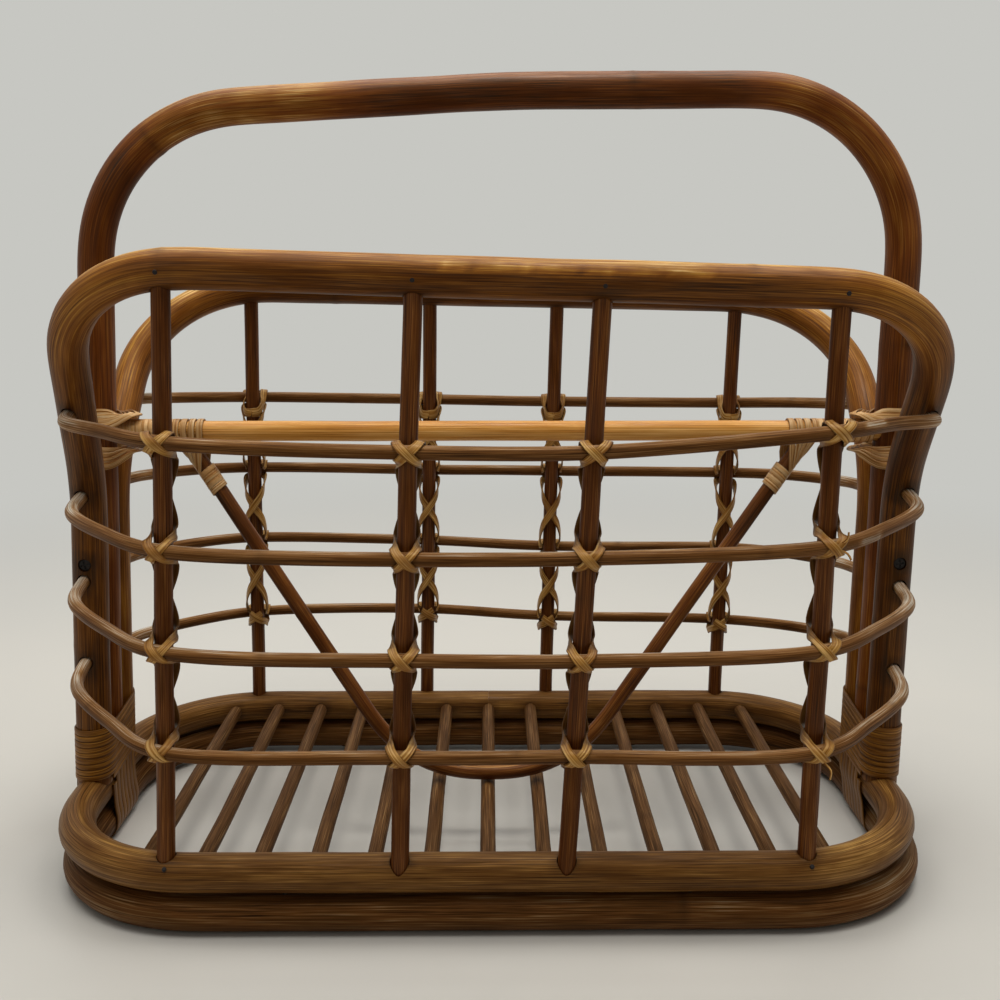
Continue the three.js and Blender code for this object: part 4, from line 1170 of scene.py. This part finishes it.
def barRunOfCane(end):
    barRound = bar["stick"] / 2 + caneLift
    stops = []

    def stop(inward, front, up, face):  # millimetres from where the leg meets the bar
        z = bar["height"] + up
        place = leaned(end * legSpread(z), 0, z) + Vector((-end * inward, -front, 0))
        stops.append((place, Vector((-end * face[0], -face[1], face[2])).normalized()))

    for half in (-1, 1):
        for turn in range(barWind["loops"]):
            lie = turn * barWind["lie"]  # each loop lies over the one before
            outer, crest = (
                barWind[key][half][0] + barWind[key][half][1] * turn for key in ("outer", "crest"))
            near, bundle = caneRound + lie, barRound + 0.8 + lie + barWind["standOff"][half]
            stop(-near, 0, outer, (-1, 0, 0))
            stop(-near * 0.7, near * 0.72, outer + (crest - outer) * 0.3, (-0.7, 0.7, 0))
            stop(0, near + 0.3, outer + (crest - outer) * 0.65, (0, 1, 0))
            stop(near * 0.75, near * 0.8, crest, (0.5, 0.8, half * 0.2))
            stop(caneRound + 3 + turn * 2.2, bundle * 0.8, half * (bundle + 0.8), (0.2, 0.75, half * 0.65))
            stop(caneRound + 4 + turn * 2.6, 0, half * bundle, (0, 0, half))
            stop(caneRound + 1 + turn * 1.3, -bundle, half * (bundle + 0.8), (0.2, -0.75, half * 0.65))
            stop(0, -near - 0.3, outer, (0, -1, 0))
            stop(-near * 0.75, -near * 0.7, outer, (-0.7, -0.7, 0))
    nearest = legAt(handleRun, end, bar["height"]).x - end * (poleRadius + barWind["fromLeg"])
    for k in range(2, barWind["turns"] * barWind["perTurn"] + 1):
        turn = k / barWind["perTurn"]
        face = Vector((0, -math.sin(math.pi * 2 * turn), math.cos(math.pi * 2 * turn)))
        middle = Vector((nearest - end * barWind["pitch"] * turn, 0, bar["height"]))
        stops.append((middle + face * barRound, face))
    return stops


# loops round the bar and the rod together, and then turns round the rod
veeWind = {
    "width": 3.5, "pitch": 3.4, "ties": 4, "tiePitch": 4.3, "start": 42.5, "tieStart": 3, "tieStep": 3.1,
    "turns": 4, "perTurn": 8, "turnsFrom": 13, "barLift": 0.8, "shade": 0.3,
}


def veeRunOfCane(end):
    corners = veeCorners()
    top, foot = (corners[0], corners[1]) if end < 0 else (corners[3], corners[2])
    along = (foot - top).normalized()
    front = (Vector((0, -1, 0)) + along * along.y).normalized()
    under = front.cross(along) * end
    rodRound, barRound = vee["stick"] / 2 + caneLift, bar["stick"] / 2 + veeWind["barLift"]
    leg = legAt(handleRun, end, bar["height"]).x
    stops = []

    def onRod(travel, angle):
        face = front * math.cos(angle) + under * math.sin(angle)
        stops.append((top + along * travel + face * rodRound, face, veeWind["shade"]))

    for turn in range(veeWind["ties"]):
        middle = Vector((leg - end * (veeWind["start"] + veeWind["tiePitch"] * turn), 0, bar["height"]))
        for quarter in (-0.5, 0, 0.4, 0.8, 1.1):  # up behind the bar, over it and down in front
            face = Vector((0, -math.sin(math.pi * quarter / 2), math.cos(math.pi * quarter / 2)))
            stops.append((middle + face * barRound, face, veeWind["shade"]))
        travel = veeWind["tieStart"] + veeWind["tieStep"] * turn
        for angle in (math.pi * 0.3, math.pi * 0.6, math.pi):
            onRod(travel + angle * 0.5, angle)
    for k in range(veeWind["turns"] * veeWind["perTurn"] + 1):
        turn = k / veeWind["perTurn"]
        onRod(veeWind["turnsFrom"] + veeWind["pitch"] * turn, math.pi + turn * 2 * math.pi)
    return stops


windings = {  # node: piece, route, sizes and look
    "foot_binding": ("footWinding", footRun, footWind, brownCane),
    "foot_lashing": ("footLashing", lashRun, lash, brownCane),
    "bar_binding": ("barWinding", barRunOfCane, barWind, barCane),
    "vee_binding": ("veeWinding", veeRunOfCane, veeWind, barCane),
}
for number, (node, (name, route, sizes, look)) in enumerate(windings.items()):
    for end in (-1, 1):
        piece = layCane(f"{name}{endNames[end].capitalize()}", route(end), sizes["width"],
                        seed=400 + number * 2 + end, perSpan=3)
        finishPiece(piece, [f"{node}_{endNames[end]}"], "flat_cane", look)
# ends of the lacing that have sprung loose at the right front stave, and the rail each starts at
looseEnds = {
    "looseEnd1": (1, [(3, -10.5, -1), (5.5, -12.5, -2.5), (6.8, -13, -5)]),
    "looseEnd2": (3, [(2, -9.5, -4), (4.5, -12, -7), (4, -12.5, -11)]),
    "looseEnd3": (1, [(3, -10.5, 2), (5, -12, 4.5), (5.4, -12, 7.5)]),
}
for number, (name, (row, route)) in enumerate(looseEnds.items()):
    root = railAtStave(-1, row, 3) + Vector((0, 7, 0))
    stops = [(root + Vector(point), Vector((0.5, -0.8, 0.2)).normalized()) for point in route]
    piece = layCane(name, stops, width=1.1, seed=450 + number, thickness=0.5)
    finishPiece(piece, [], "flat_cane", laceCane)
print("windings laid")


# studio

studio = {"floor": "#cbcac5", "vein": "#d2cfc8", "background": "#c7c7c2", "fill": "#dfdcd6", "radius": 3.0}


def seenShare(tree):  # 1 where a ray comes from the camera, by a mirror or through glass
    path = addNode(tree, "LightPath")
    seen = path.outputs["Is Camera Ray"]
    for way in ("Is Glossy Ray", "Is Transmission Ray"):
        seen = addNode(tree, "Math", {"operation": "MAXIMUM"}, {0: seen, 1: path.outputs[way]})
    return seen


# pale floor tile: softly clouded, and it fades into the background far from the basket
deselect()
bpy.ops.mesh.primitive_circle_add(vertices=96, radius=studio["radius"], fill_type="NGON", location=(0, 0, 0))
floor = bpy.context.object
floor.name = "studioFloor"
material, tree = newMaterial("paleFloorTile")
spot = addNode(tree, "TexCoord").outputs["Object"]
clouds = addNode(tree, "TexNoise", {"Scale": 3.5, "Detail": 5, "Distortion": 0.8}, {"Vector": spot})
tint = addNode(tree, "MapRange", {"From Min": 0.35, "From Max": 0.7, "To Max": 0.5}, {"Value": clouds})
colour = addNode(tree, "Mix", {"data_type": "RGBA", 6: studio["floor"], 7: studio["vein"]}, {0: tint})
tile = addNode(tree, "BsdfPrincipled", {"Roughness": 0.35, "IOR": 1.3}, {"Base Color": colour.outputs[2]})
glow = addNode(tree, "Emission", {"Color": studio["background"], "Strength": 1})
away = addNode(tree, "VectorMath", {"operation": "LENGTH"}, {0: spot})
far = addNode(tree, "MapRange", {
    "From Min": 0.35, "From Max": 1.3, "interpolation_type": "SMOOTHSTEP"}, {"Value": away.outputs["Value"]})
share = addNode(tree, "Math", {"operation": "MULTIPLY"}, {0: far, 1: seenShare(tree)})
blend = addNode(tree, "MixShader", {}, {0: share, 1: tile, 2: glow})
addNode(tree, "OutputMaterial", {}, {"Surface": blend})
floor.data.materials.append(material)

world = bpy.data.worlds.new("studio")
bpy.context.scene.world = world
world.use_nodes = True
tree = world.node_tree
tree.nodes.clear()
fill = addNode(tree, "Background", {"Color": studio["fill"], "Strength": 0.15})
show = addNode(tree, "Background", {"Color": studio["background"], "Strength": 1})
mixed = addNode(tree, "MixShader", {}, {0: seenShare(tree), 1: fill, 2: show})
addNode(tree, "OutputWorld", {}, {"Surface": mixed})

lamps = {  # metres and watts
    "skyPanel": {"place": (0.0, 0.1, 1.6), "size": 1.8, "power": 32, "colour": "#fffcf7"},
    "ceilingLamp": {"place": (0.1, -0.15, 1.9), "size": 0.4, "power": 6, "colour": "#fff8ee"},
    "frontPanel": {"place": (-0.9, -1.6, 1.3), "size": 1.2, "power": 3, "colour": "#fffaf2"},
}
target = Vector((0, 0, 0.2))
for name, lamp in lamps.items():
    light = bpy.data.lights.new(name, "AREA")
    light.shape, light.size, light.energy = "SQUARE", lamp["size"], lamp["power"]
    light.color = linear(lamp["colour"])[:3]
    panel = bpy.data.objects.new(name, light)
    bpy.context.collection.objects.link(panel)
    panel.location = lamp["place"]
    panel.rotation_euler = (target - panel.location).to_track_quat("-Z", "Y").to_euler()
bpy.context.scene.view_settings.view_transform = "Standard"
print("studio lit")
